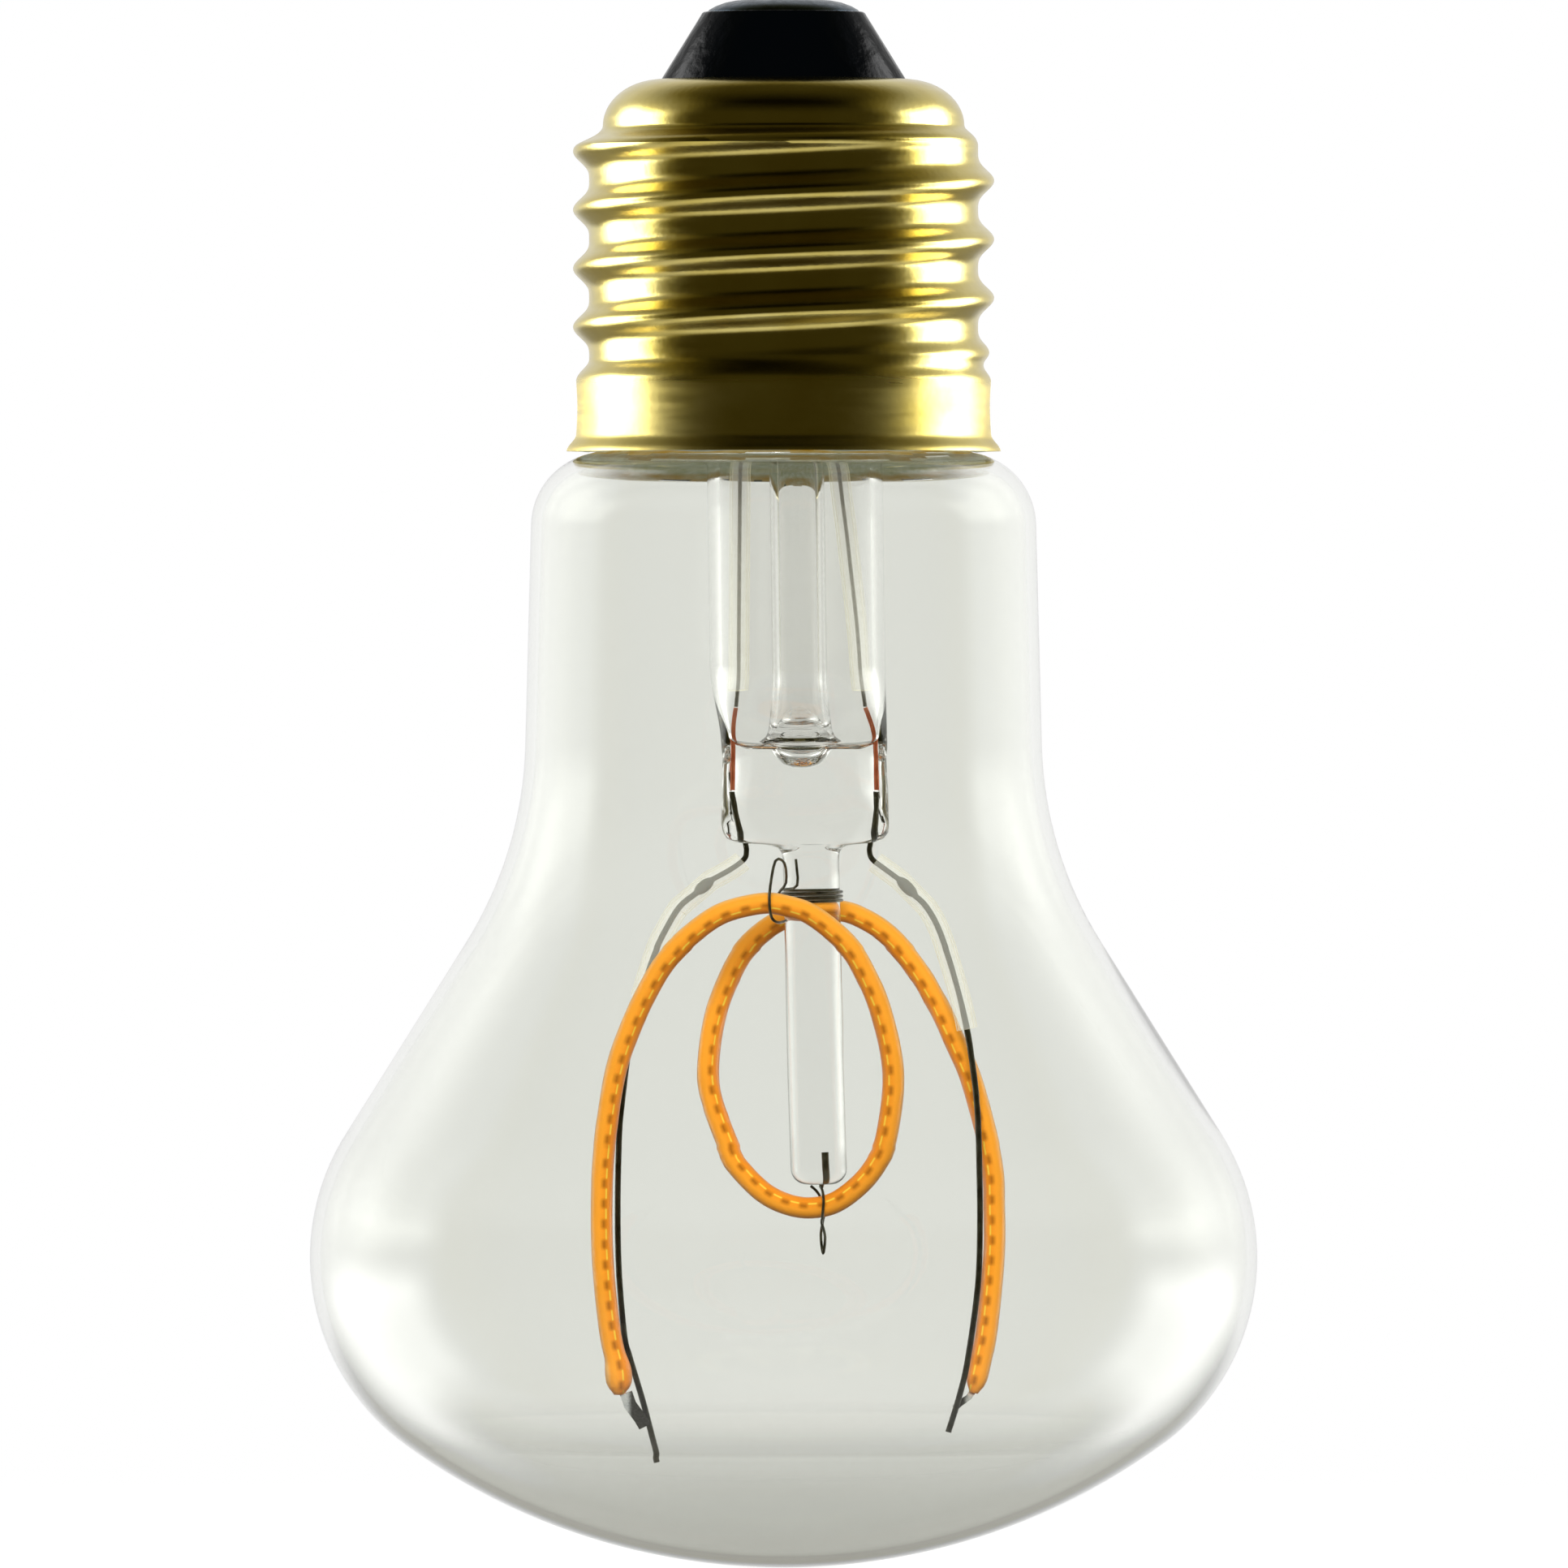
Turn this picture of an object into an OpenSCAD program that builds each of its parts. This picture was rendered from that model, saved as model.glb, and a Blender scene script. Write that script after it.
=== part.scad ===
// LED filament bulb with an E27 screw cap, standing cap upwards.
// The origin is the middle of the centre contact, and +Z points into the lampholder.
// Depths are measured down from the contact, so a depth d lies at z = -d.

/* [Glass] */
// Length from the centre contact to the bottom of the glass
bulb_length = 97.1; // [90:0.1:104]
// Largest diameter of the glass
glass_d = 58.7; // [57:0.1:61]
// Height of the middle of the belly above the bottom
belly_h = 19.2; // [18.4:0.1:20.4]
// Radius of the rounded belly
belly_r = 14.3; // [13:0.1:15]
// Radius of the hollow flank above the belly
flank_r = 24; // [22:0.5:26]
// Lean of the straight flank from the vertical, in degrees
flank_lean = 32.1; // [30:0.1:34]
// Diameter at the bottom of the neck
neck_foot_d = 32; // [31.6:0.1:33]
// Diameter of the neck under the shoulder
neck_d = 31.3; // [30.5:0.1:32]
// Radius of the shoulder under the cap
shoulder_r = 4.6; // [4.2:0.1:5]
// Drop from the cap's edge to the middle of the shoulder's curve
shoulder_drop = 4.64; // [4.4:0.02:5.4]
// Radius of the hollow between the cap and the shoulder
throat_r = 1.2; // [0.8:0.1:1.6]
// Diameter of the glass inside the cap
throat_d = 21.8; // [21.2:0.1:22.2]
// Wall of the blown glass
glass_wall = 0.8; // [0.5:0.05:1]

/* [Screw cap] */
// Diameter over the thread crests
thread_d = 26.1; // [25.9:0.05:26.45]
// Diameter at the thread roots
thread_root_d = 24.1; // [23.9:0.05:24.3]
// Pitch of the right-hand thread
thread_pitch = 3.629; // [3.55:0.01:3.7]
// Depth of the lowest crest of the first turn
first_crest = 11.2; // [10.9:0.05:11.5]
// Thickness of the brass sheet
sheet_t = 0.3; // [0.2:0.02:0.4]
// Diameter of the hole in the top of the shell
mouth_d = 15.2; // [14.6:0.1:15.8]
// Diameter at the foot of the rounded top
collar_d = 22.4; // [22:0.1:23]
// Height of the rounded top
collar_h = 2.87; // [2.5:0.05:3.2]
// Length over which the thread fades in and out
thread_fade = 1.3; // [1:0.1:1.6]
// Depth at which the skirt starts
skirt_depth = 23.6; // [23.4:0.1:24]
// Diameter of the skirt
skirt_d = 25.7; // [25.5:0.05:25.9]
// Inward waist of the skirt
skirt_waist = 0.07; // [0:0.01:0.12]
// Height of the flared rim
rim_h = 1.05; // [0.8:0.05:1.3]
// Diameter of the flared rim
rim_d = 26.9; // [26.5:0.05:27.3]
// Depth of the rim's edge
cap_depth = 27.96; // [27.7:0.02:28.05]

/* [Contact and insulator] */
// Diameter of the centre contact
contact_d = 9.4; // [9:0.1:10]
// Diameter of the contact's flat land
contact_land_d = 4.6; // [4:0.1:5.2]
// Height of the contact's dome
contact_rise = 0.7; // [0.5:0.05:0.9]
// Diameter of the contact's shank
shank_d = 2.4; // [2:0.1:3]
// Depth of the hole in the top of the shell
insulator_h = 4.93; // [4.7:0.02:5.2]
// Diameter of the insulator under its rounded edge
insulator_top_d = 10.9; // [10.5:0.1:11.3]
// Radius of the insulator's rounded edge
insulator_edge_r = 0.9; // [0.6:0.05:1]
// Thickness of the insulator inside the shell
insulator_inner_h = 2.1; // [1.9:0.1:2.3]

/* [Driver] */
// Diameter of the driver board
board_d = 20.4; // [20:0.1:20.8]
// Thickness of the driver board
board_t = 1; // [0.8:0.1:1.2]
// Diameter of the smoothing capacitor
capacitor_d = 6.3; // [5:0.1:6.5]
// Height of the smoothing capacitor
capacitor_h = 10; // [9:0.5:10.5]
// Body of the bridge rectifier, as width, depth and height
rectifier_size = [4.7, 3.8, 2.4];
// Body of the driver chip, as width, depth and height
chip_size = [4.9, 3.9, 1.6];
// Body of a chip resistor, as width, depth and height
resistor_size = [3.2, 1.6, 0.6];
// Number of chip resistors
resistor_count = 3; // [2:1:3]
// Diameter of the fusible resistor
fuse_d = 3.2; // [2.6:0.1:3.4]
// Length of the fusible resistor's body
fuse_h = 8; // [7:0.5:8.5]
// Diameter of the two supply leads
supply_wire_d = 0.5; // [0.4:0.05:0.6]

/* [Stem] */
// Depth of the flared end of the stem
stem_depth = 22.4; // [22:0.1:22.8]
// Height of the stem's flare
flare_h = 5.6; // [5:0.1:6]
// Diameter of the stem tube
stem_d = 10.9; // [10.8:0.1:11.4]
// Wall of the stem tube
stem_wall = 0.75; // [0.6:0.05:0.8]
// Lean of the stem, in degrees
stem_lean = 0.8; // [0.6:0.1:1]
// Sideways shift of the stem at its flare
stem_shift = 0.6; // [0.5:0.05:0.7]
// Length of the stem from its flare to the solid glass
stem_l = 23.9; // [22:0.1:25]
// Height over which the tube flattens
press_h = 5.1; // [4.7:0.1:5.7]
// Width of the flattened seal
press_w = 10.3; // [10.2:0.1:10.6]
// Thickness of the flattened seal
press_t = 4.4; // [4.3:0.1:4.8]
// Sideways shift of the flattened seal from the tube
press_shift = 0.35; // [0.25:0.05:0.4]
// Height of the solid seal
seal_h = 6.1; // [5.8:0.1:6.6]
// Diameter of the exhaust tube
exhaust_d = 3.4; // [3.1:0.1:3.5]
// Bore of the exhaust tube
exhaust_bore = 1.9; // [1.5:0.1:2.1]
// Height of the exhaust tube's melted tip above the stem's flare
exhaust_above = 4.8; // [4:0.1:5.2]
// Height above the solid glass at which the exhaust tube opens
exhaust_lift = 1.7; // [1.5:0.1:2.1]
// Lean of the exhaust tube, in degrees
exhaust_lean = 0.8; // [0.5:0.1:1]
// Diameter of the support rod
rod_d = 3.5; // [3.3:0.05:3.6]
// Length of the rod inside the seal
rod_hold = 2.7; // [2.2:0.1:3]
// Length of the rod below the seal
rod_l = 20.9; // [20:0.1:22]
// Lean of the rod, in degrees
rod_lean = 1.4; // [1.2:0.1:1.6]

/* [Wires] */
// Diameter of the leads inside the stem
lead_d = 0.25; // [0.2:0.05:0.35]
// Diameter of the copper-clad seal wires
seal_wire_d = 0.28; // [0.2:0.02:0.34]
// Diameter of the support wires
support_d = 0.38; // [0.3:0.02:0.44]
// Outer diameter of the sleeves inside the stem
lead_sleeve_d = 1.3; // [1.2:0.05:1.35]
// Outer diameter of the sleeves on the support wires
support_sleeve_d = 1.3; // [1.2:0.05:1.4]
// Wall of all four sleeves
sleeve_wall = 0.15; // [0.1:0.01:0.18]
// Space between the sleeves inside the stem and the solid glass
lead_sleeve_gap = 3.1; // [2.9:0.1:3.7]
// Reach of the leads from the stem's axis at their lower ends
lead_reach = 3.85; // [3.7:0.05:3.9]
// Reach of the seal wires
seal_reach = 4.2; // [4.05:0.05:4.3]
// Reach of the left inner lead where it leaves the seal
left_exit = 3.75; // [3.6:0.05:4.1]
// Reach of the right inner lead where it leaves the seal
right_exit = 4.05; // [3.6:0.05:4.1]
// Reach of the weld beads
bead_reach = 6.3; // [6:0.1:6.6]
// Drop from the seal to the middle of a weld bead
bead_drop = 2.65; // [2.4:0.05:2.9]
// Length of a weld bead
bead_l = 1.1; // [0.9:0.1:1.3]
// Reach of the left support wire from the stem's axis
left_reach = 11.6; // [11.4:0.05:11.9]
// Reach of the right support wire from the stem's axis
right_reach = 10.9; // [10.6:0.05:11.1]
// Space between the tip of the left support wire and the depth of the glass's bottom
left_clear = 6.6; // [6:0.1:7.6]
// Space between the tip of the right support wire and the depth of the glass's bottom
right_clear = 8.3; // [7.6:0.1:9.2]
// Drop from the seal to the lower end of the left sleeve
left_sleeve_drop = 9.7; // [9:0.1:11]
// Drop from the seal to the lower end of the right sleeve
right_sleeve_drop = 11.5; // [10:0.1:12]

/* [Filament] */
// Thickness of the filament seen from the front
band_t = 1.35; // [1.25:0.05:1.4]
// Width of the filament seen from the side
band_w = 1.5; // [1.3:0.05:1.6]
// Thickness of the strip that carries the diodes
strip_t = 0.12; // [0.08:0.01:0.16]
// Distance between two diodes along the strip
chip_pitch = 1.28; // [1.2:0.02:1.5]
// Length of a diode along the strip
diode_l = 0.6; // [0.5:0.05:0.7]
// Width of a diode across the strip
diode_w = 0.36; // [0.3:0.02:0.4]
// Thickness of a diode
diode_t = 0.12; // [0.1:0.01:0.14]
// Diameter of a bond wire
bond_d = 0.06; // [0.04:0.01:0.08]
// Drop from the seal to the top of the arch in front of the rod
front_drop = 3.7; // [3.5:0.1:4.2]
// Sideways place of the top of that arch
front_x = -0.9; // [-1.2:0.1:-0.6]
// Drop from the seal to the top of the arch behind the rod
rear_drop = 4.2; // [3.8:0.1:4.6]
// Sideways place of the top of that arch
rear_x = 2.9; // [2.6:0.1:3.2]
// Space between the rod's end and the filament's loop
loop_drop = 0.9; // [0.8:0.1:1.2]
// Width of the loop round the rod
loop_w = 11.2; // [10.6:0.1:12]
// Distance between the two legs of the filament
leg_spread = 24.2; // [24:0.1:24.8]
// Height above the glass's bottom at which the left leg stands furthest out
left_leg_h = 22.7; // [21:0.1:23.6]
// Height above the glass's bottom at which the right leg stands furthest out
right_leg_h = 19.8; // [19:0.1:21]
// Height of the filament's ends above the glass's bottom
band_clear = 10.8; // [10.5:0.1:11.5]
// Free space between the filament and the rod
band_gap = 0.35; // [0.3:0.05:0.5]

/* [Tie wires] */
// Diameter of the tie wires
tie_d = 0.18; // [0.14:0.02:0.22]
// Diameter of the anchor in the rod's end
anchor_d = 0.3; // [0.26:0.02:0.36]
// Length of the anchor inside the rod
anchor_l = 1.8; // [1.4:0.1:2.2]
// Turns of the upper tie round the rod
tie_turns = 3; // [2:1:4]
// Drop from the seal to the lowest turn of the upper tie
winding_drop = 3.65; // [3.5:0.05:3.8]
// Length of the loop that hangs under the filament
tie_drop = 2.9; // [2.4:0.1:3.2]

/* [Hidden] */

// Clearance between pieces that are moulded, sealed or soldered together
seal_gap = 0.05;
// Facets of a full turn on the revolved pieces
$fn = 96;
// Facets round the shell, the stem and the thin wires
shell_sides = 40;
stem_sides = 24;
wire_sides = 6;
tube_sides = 8;
// Rows of the shell in one pitch, outside and inside
outer_rows = 10;
inner_rows = 5;

// Small helpers

function mix(a, b, t) = a + (b - a) * t;
function ease(t) = let (u = min(max(t, 0), 1)) u * u * (3 - 2 * u);
function unit(v) = v / norm(v);
function joined(lists) = [for (list = lists) each list];
// A point in the plane of the filament and the wires, at a distance in front
function at(x, depth, front = 0) = [x, -front, -depth];

// A bent wire's run: the corners of its route are cut until it is smooth
function cut_corners(route) = concat(
    [route[0]],
    [for (i = [0:len(route) - 2], t = [0.25, 0.75]) mix(route[i], route[i + 1], t)],
    [route[len(route) - 1]]
);
function bent(route, times = 2) = times == 0 ? route : bent(cut_corners(route), times - 1);

// Directions along a run, and a side direction that is carried along it without twisting
function heading(run, i) = unit(run[min(i + 1, len(run) - 1)] - run[max(i - 1, 0)]);
function square_to(v, t) = unit(v - (v * t) * t);
function carried(run, start) = [
    for (i = 0, side = square_to(start, heading(run, 0)); i < len(run);
        i = i + 1, side = square_to(side, heading(run, min(i, len(run) - 1)))) side
];
function round_section(d, sides) = [
    for (k = [0:sides - 1]) d / 2 * [cos(360 * k / sides), sin(360 * k / sides)]
];
// One section set square to the run at each of its points
function placed(section, point, t, side) = [
    for (p = section) point + p[0] * cross(t, side) + p[1] * side
];

// A skin over rings of equal size. A looped skin joins its last ring to its first
module skin(rings, looped = false) {
    m = len(rings);
    n = len(rings[0]);
    walls = [
        for (i = [0:(looped ? m - 1 : m - 2)], j = [0:n - 1])
            let (a = i * n, b = (i + 1) % m * n, k = (j + 1) % n)
            each [[a + j, a + k, b + k], [a + j, b + k, b + j]]
    ];
    caps = looped ? [] : [
        [for (j = [0:n - 1]) n - 1 - j],
        [for (j = [0:n - 1]) (m - 1) * n + j]
    ];
    polyhedron(joined(rings), concat(walls, caps), convexity = 10);
}

// A round wire along a run
module wire(run, d, sides = wire_sides, start = [0, 1, 0]) {
    side = carried(run, start);
    skin([for (i = [0:len(run) - 1])
        placed(round_section(d, sides), run[i], heading(run, i), side[i])]);
}

// A thin sleeve along a run
module sleeve(run, d, wall) {
    side = carried(run, [0, 1, 0]);
    last = len(run) - 1;
    outside = [for (i = [0:last])
        placed(round_section(d, tube_sides), run[i], heading(run, i), side[i])];
    inside = [for (i = [0:last])
        placed(round_section(d - 2 * wall, tube_sides), run[last - i],
            heading(run, last - i), side[last - i])];
    skin(concat(outside, inside), looped = true);
}

// A bead of melted metal round the middle of a joint between two wires
module bead(from, to, d) {
    run = [for (t = [0:0.25:1]) mix(from, to, t)];
    side = carried(run, [0, 1, 0]);
    skin([for (i = [0:4])
        placed(round_section(mix(support_d, d, sin(180 * i / 4)), tube_sides),
            run[i], heading(run, i), side[i])]);
}

// Glass outline: a chain of arcs that touch each other or a straight wall between them.
// Each arc is [centre, radius, first normal angle, last normal angle, steps, first step];
// a hollow arc has a negative radius, so a wall is the same chain at a smaller radius.

function normal_of(from, to) = let (d = to - from) atan2(d[1], d[0]);

shoulder_depth = cap_depth + shoulder_drop;
shoulder_c = [neck_d / 2 - shoulder_r, -shoulder_depth];
throat_c = let (x = throat_d / 2 + throat_r)
    [x, -shoulder_depth + sqrt(pow(shoulder_r + throat_r, 2) - pow(x - shoulder_c[0], 2))];
belly_c = [glass_d / 2 - belly_r, belly_h - bulb_length];
// The flank touches the belly where its straight part has the given lean
flank_x = neck_foot_d / 2 + flank_r;
flank_rise = (belly_r + flank_r - cos(flank_lean) * (flank_x - belly_c[0])) / sin(flank_lean);
flank_c = [flank_x, belly_c[1] + flank_rise];
base_r = (pow(belly_c[0], 2) + pow(belly_h, 2) - pow(belly_r, 2)) / (2 * (belly_h - belly_r));
base_c = [0, base_r - bulb_length];
shoulder_top_n = normal_of(shoulder_c, throat_c);
neck_n = normal_of(shoulder_c, flank_c) + acos((shoulder_r + flank_r) / norm(flank_c - shoulder_c));
base_n = normal_of(base_c, belly_c);
glass_arcs = [
    [throat_c, -throat_r, 0, shoulder_top_n, 4, 0],
    [shoulder_c, shoulder_r, shoulder_top_n, neck_n, 7, 1],
    [flank_c, -flank_r, neck_n, flank_lean, 7, 0],
    [belly_c, belly_r, flank_lean, base_n, 14, 0],
    [base_c, base_r, base_n, -90, 9, 1]
];
function outline(inset) = [
    for (arc = glass_arcs, i = [arc[5]:arc[4]])
        let (n = mix(arc[2], arc[3], i / arc[4]))
        arc[0] + (arc[1] - inset) * [cos(n), sin(n)]
];
function backwards(list) = [for (i = [len(list) - 1:-1:0]) list[i]];

// The upper end of the glass meets the stem's flare, which dips a little inside its edge
flare_dip = 0.2;
neck_top = stem_depth + flare_dip + seal_gap;

module glass_bulb() color([0.87, 0.89, 0.86, 0.35])
    rotate_extrude()
        polygon(concat(
            [[throat_d / 2, -neck_top]],
            outline(0),
            backwards(outline(glass_wall)),
            [[throat_d / 2 - glass_wall, -neck_top]]
        ));

// Screw shell: a brass sheet rolled to the thread, so its inside follows its outside

mouth_r = mouth_d / 2;
collar_r = collar_d / 2;
root_r = thread_root_d / 2;
crest_h = (thread_d - thread_root_d) / 2;
skirt_r = skirt_d / 2;
collar_depth = insulator_h + collar_h;
rim_start = cap_depth - rim_h;
// Depth where the thread starts to run out above the skirt
run_out = skirt_depth - 2 * thread_fade;

function skirt_profile(depth) =
    depth < rim_start
    ? skirt_r - skirt_waist * sin(180 * max(depth - skirt_depth, 0) / (rim_start - skirt_depth))
    : mix(skirt_r, rim_d / 2, ease((depth - rim_start) / rim_h));
function wall_profile(depth) =
    depth < run_out + thread_fade
    ? mix(collar_r, root_r, ease((depth - collar_depth) / thread_fade))
    : mix(root_r, skirt_profile(depth), ease((depth - run_out - thread_fade) / thread_fade));
function crest_share(depth) =
    ease((depth - collar_depth) / thread_fade) * (1 - ease((depth - run_out) / (2 * thread_fade)));
function thread_wave(depth, turn) = (1 + cos(360 * ((depth - first_crest) / thread_pitch + turn))) / 2;
function shell_radius(depth, turn) =
    wall_profile(depth) + crest_h * crest_share(depth) * thread_wave(depth, turn);
function shell_ring(depth, inset) = [
    for (k = [0:shell_sides - 1])
        let (turn = k / shell_sides, r = shell_radius(depth, turn) - inset)
        [r * cos(360 * turn), r * sin(360 * turn), -depth]
];
function dome_ring(angle, inset) = [
    for (k = [0:shell_sides - 1])
        let (r = mouth_r + (collar_r - mouth_r - inset) * cos(angle))
        [r * cos(360 * k / shell_sides), r * sin(360 * k / shell_sides),
            -collar_depth + (collar_h - inset) * sin(angle)]
];
thread_rows = function (rows) ceil((skirt_depth - collar_depth) / thread_pitch * rows);
function row_depth(i, rows) = mix(collar_depth, skirt_depth, i / thread_rows(rows));

module screw_shell() color("#B5932F")
    skin(concat(
        [for (angle = [90:-18:18]) dome_ring(angle, 0)],
        [for (i = [0:thread_rows(outer_rows)]) shell_ring(row_depth(i, outer_rows), 0)],
        [for (t = [0.5, 1]) shell_ring(mix(skirt_depth, rim_start, t), 0)],
        [for (t = [0.35, 0.65, 1]) shell_ring(rim_start + rim_h * t, 0)],
        [for (t = [1, 0.6, 0]) shell_ring(rim_start + rim_h * t, sheet_t)],
        [for (i = [thread_rows(inner_rows):-1:0]) shell_ring(row_depth(i, inner_rows), sheet_t)],
        [for (angle = [18:18:90]) dome_ring(angle, sheet_t)]
    ), looped = true);

// Insulator and centre contact

insulator_foot_r = mouth_r - seal_gap;
shank_r = shank_d / 2;
contact_r = contact_d / 2;
land_r = contact_land_d / 2;
contact_h = 0.5;
insulator_bottom = insulator_h + insulator_inner_h;
rivet_h = 0.4;
// Inside of the rounded top of the shell, less the clearance of the insulator
dome_fit = sheet_t + 3 * seal_gap;
function under_dome(angle) = [
    mouth_r + (collar_r - mouth_r - dome_fit) * cos(angle),
    -collar_depth + (collar_h - dome_fit) * sin(angle)
];
dome_start = 84;
dome_end = asin((collar_depth - insulator_bottom) / (collar_h - dome_fit));

module insulator() color("#101114")
    rotate_extrude()
        polygon(concat(
            [[shank_r + seal_gap, -insulator_bottom],
                [shank_r + seal_gap, -contact_rise - contact_h - seal_gap],
                [contact_r + seal_gap, -contact_rise - contact_h - seal_gap],
                [contact_r + seal_gap, -contact_rise - seal_gap]],
            [for (a = [60:-20:0])
                [insulator_top_d / 2 - insulator_edge_r * (1 - cos(a)),
                    -contact_rise - seal_gap - insulator_edge_r * (1.1 - sin(a))]],
            [[insulator_foot_r, -insulator_h + seal_gap], [insulator_foot_r, -insulator_h - dome_fit]],
            [for (i = [0:4]) under_dome(mix(dome_start, dome_end, i / 4))]
        ));

module centre_contact() color("#2B3440")
    rotate_extrude()
        polygon([
            [0, 0], [land_r, 0],
            [mix(land_r, contact_r, 0.55), -contact_rise * 0.45],
            [contact_r, -contact_rise], [contact_r, -contact_rise - contact_h],
            [shank_r, -contact_rise - contact_h], [shank_r, -insulator_bottom - seal_gap],
            [shank_r * 1.5, -insulator_bottom - seal_gap],
            [shank_r * 1.2, -insulator_bottom - seal_gap - rivet_h],
            [0, -insulator_bottom - seal_gap - rivet_h]
        ]);

// Cement between the skirt and the neck of the glass
module basing_cement() color("#A79C78")
    rotate_extrude() {
        outer_r = skirt_r - skirt_waist - sheet_t - seal_gap;
        inner_r = throat_d / 2 + seal_gap;
        bottom = min(rim_start + rim_h * 0.6, -throat_c[1] + throat_r * 0.55);
        polygon([
            [inner_r, -skirt_depth - seal_gap], [outer_r, -skirt_depth - seal_gap],
            [outer_r, -rim_start], [outer_r, -bottom],
            [throat_c[0] - throat_r * 0.8 + seal_gap, -bottom], [inner_r, throat_c[1]]
        ]);
    }

// Driver: a round board on the stem's flare, with its parts standing on it

board_bottom = stem_depth - stem_wall - 4 * seal_gap;
board_top = board_bottom - board_t;
board_r = board_d / 2;
left_hole = -2.7;
right_hole = 3.3;
fuse_at = [-5.2, 4.4];
rectifier_at = [-5.7, -4.1];
capacitor_at = [5, 4.6];
chip_at = [4.6, -5];
neutral_turn = 165 / 360;
neutral_r = board_r - 1.4;
neutral_at = neutral_r * [cos(360 * neutral_turn), sin(360 * neutral_turn)];
// Thread root beside the end of the neutral lead
neutral_depth = first_crest + thread_pitch * (2.5 - neutral_turn);

module on_board(place) translate([place[0], place[1], -board_top]) children();
module block(size) translate([-size[0] / 2, -size[1] / 2, 0]) cube(size);

module driver_board() color("#2F6B3A")
    difference() {
        translate([0, 0, -board_bottom]) cylinder(r = board_r, h = board_t);
        translate([exhaust_x(board_bottom), 0, -board_bottom - 1])
            cylinder(d = exhaust_d + 0.8, h = board_t + 2);
        for (place = [[left_hole, 0], [right_hole, 0]])
            translate([place[0], place[1], -board_bottom - 1])
                cylinder(d = lead_d + 4 * seal_gap, h = board_t + 2, $fn = 24);
        translate([neutral_at[0], neutral_at[1], -board_bottom - 1])
            cylinder(d = supply_wire_d + 4 * seal_gap, h = board_t + 2, $fn = 24);
    }

module bridge_rectifier() color("#1C1C1E")
    on_board(rectifier_at) {
        translate([0, 0, 0.3]) block([rectifier_size[0], rectifier_size[1], rectifier_size[2] - 0.3]);
        for (x = [-1, 1], y = [-1, 1])
            translate([x * rectifier_size[0] * 0.27, y * (rectifier_size[1] / 2 + 0.2), 0])
                block([0.6, 0.8, 0.5]);
    }

module smoothing_capacitor() color("#22263A")
    on_board(capacitor_at)
        rotate_extrude()
            polygon([
                [0, 0], [capacitor_d / 2 - 0.3, 0], [capacitor_d / 2, 0.3],
                [capacitor_d / 2, 1.2], [capacitor_d / 2 - 0.25, 1.5], [capacitor_d / 2, 1.8],
                [capacitor_d / 2, capacitor_h - 0.3], [capacitor_d / 2 - 0.3, capacitor_h], [0, capacitor_h]
            ]);

module driver_chip() color("#18181A")
    on_board(chip_at) {
        translate([0, 0, 0.2]) block([chip_size[0], chip_size[1], chip_size[2] - 0.2]);
        for (i = [-1.5:1:1.5], y = [-1, 1])
            translate([i * chip_size[0] * 0.25, y * (chip_size[1] / 2 + 0.3), 0]) block([0.4, 1, 0.35]);
    }

module chip_resistors() color("#26262A")
    for (i = [0:resistor_count - 1])
        on_board([0, -8 + i * 2.2]) block(resistor_size);

fuse_lift = 1.6;
fuse_top = board_top - fuse_lift - fuse_h;
module fusible_resistor() color("#4F7C6A")
    on_board(fuse_at)
        rotate_extrude()
            polygon([
                [0, 0], [supply_wire_d / 2, 0], [supply_wire_d / 2, fuse_lift],
                [fuse_d / 2 - 0.2, fuse_lift], [fuse_d / 2, fuse_lift + 0.3],
                [fuse_d / 2, fuse_lift + 1.6], [fuse_d / 2 - 0.25, fuse_lift + 2],
                [fuse_d / 2 - 0.25, fuse_lift + fuse_h - 2], [fuse_d / 2, fuse_lift + fuse_h - 1.6],
                [fuse_d / 2, fuse_lift + fuse_h - 0.3], [fuse_d / 2 - 0.2, fuse_lift + fuse_h],
                [0, fuse_lift + fuse_h]
            ]);

rivet_end = insulator_bottom + seal_gap + rivet_h;
module live_lead() color("#B03A2E")
    wire(bent([
        [0, 0, -rivet_end - seal_gap], [0, 0, -rivet_end - 0.6],
        [fuse_at[0], fuse_at[1], -fuse_top + 0.8], [fuse_at[0], fuse_at[1], -fuse_top + seal_gap]
    ]), supply_wire_d);

// The neutral lead ends against the inside of the shell, at a thread root
module neutral_lead() color("#3B5BA5") {
    out = [cos(360 * neutral_turn), sin(360 * neutral_turn)];
    end_r = root_r - sheet_t - supply_wire_d / 2 - 2 * seal_gap;
    wire(bent([
        [neutral_at[0], neutral_at[1], -board_bottom], [neutral_at[0], neutral_at[1], -board_top + 0.4],
        [out[0] * mix(neutral_r, end_r, 0.2), out[1] * mix(neutral_r, end_r, 0.2), -neutral_depth],
        [out[0] * end_r, out[1] * end_r, -neutral_depth],
        [out[0] * end_r, out[1] * end_r, -neutral_depth + 0.6]
    ]), supply_wire_d);
}

// Stem: the tube flares out to the neck of the glass and is pressed flat round the wires

press_depth = stem_depth + stem_l;
press_start = press_depth - press_h;
press_end = press_depth + seal_h;
exhaust_foot = press_depth - exhaust_lift;
exhaust_tip = stem_depth - exhaust_above;
rod_end = press_end + rod_l;

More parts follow.
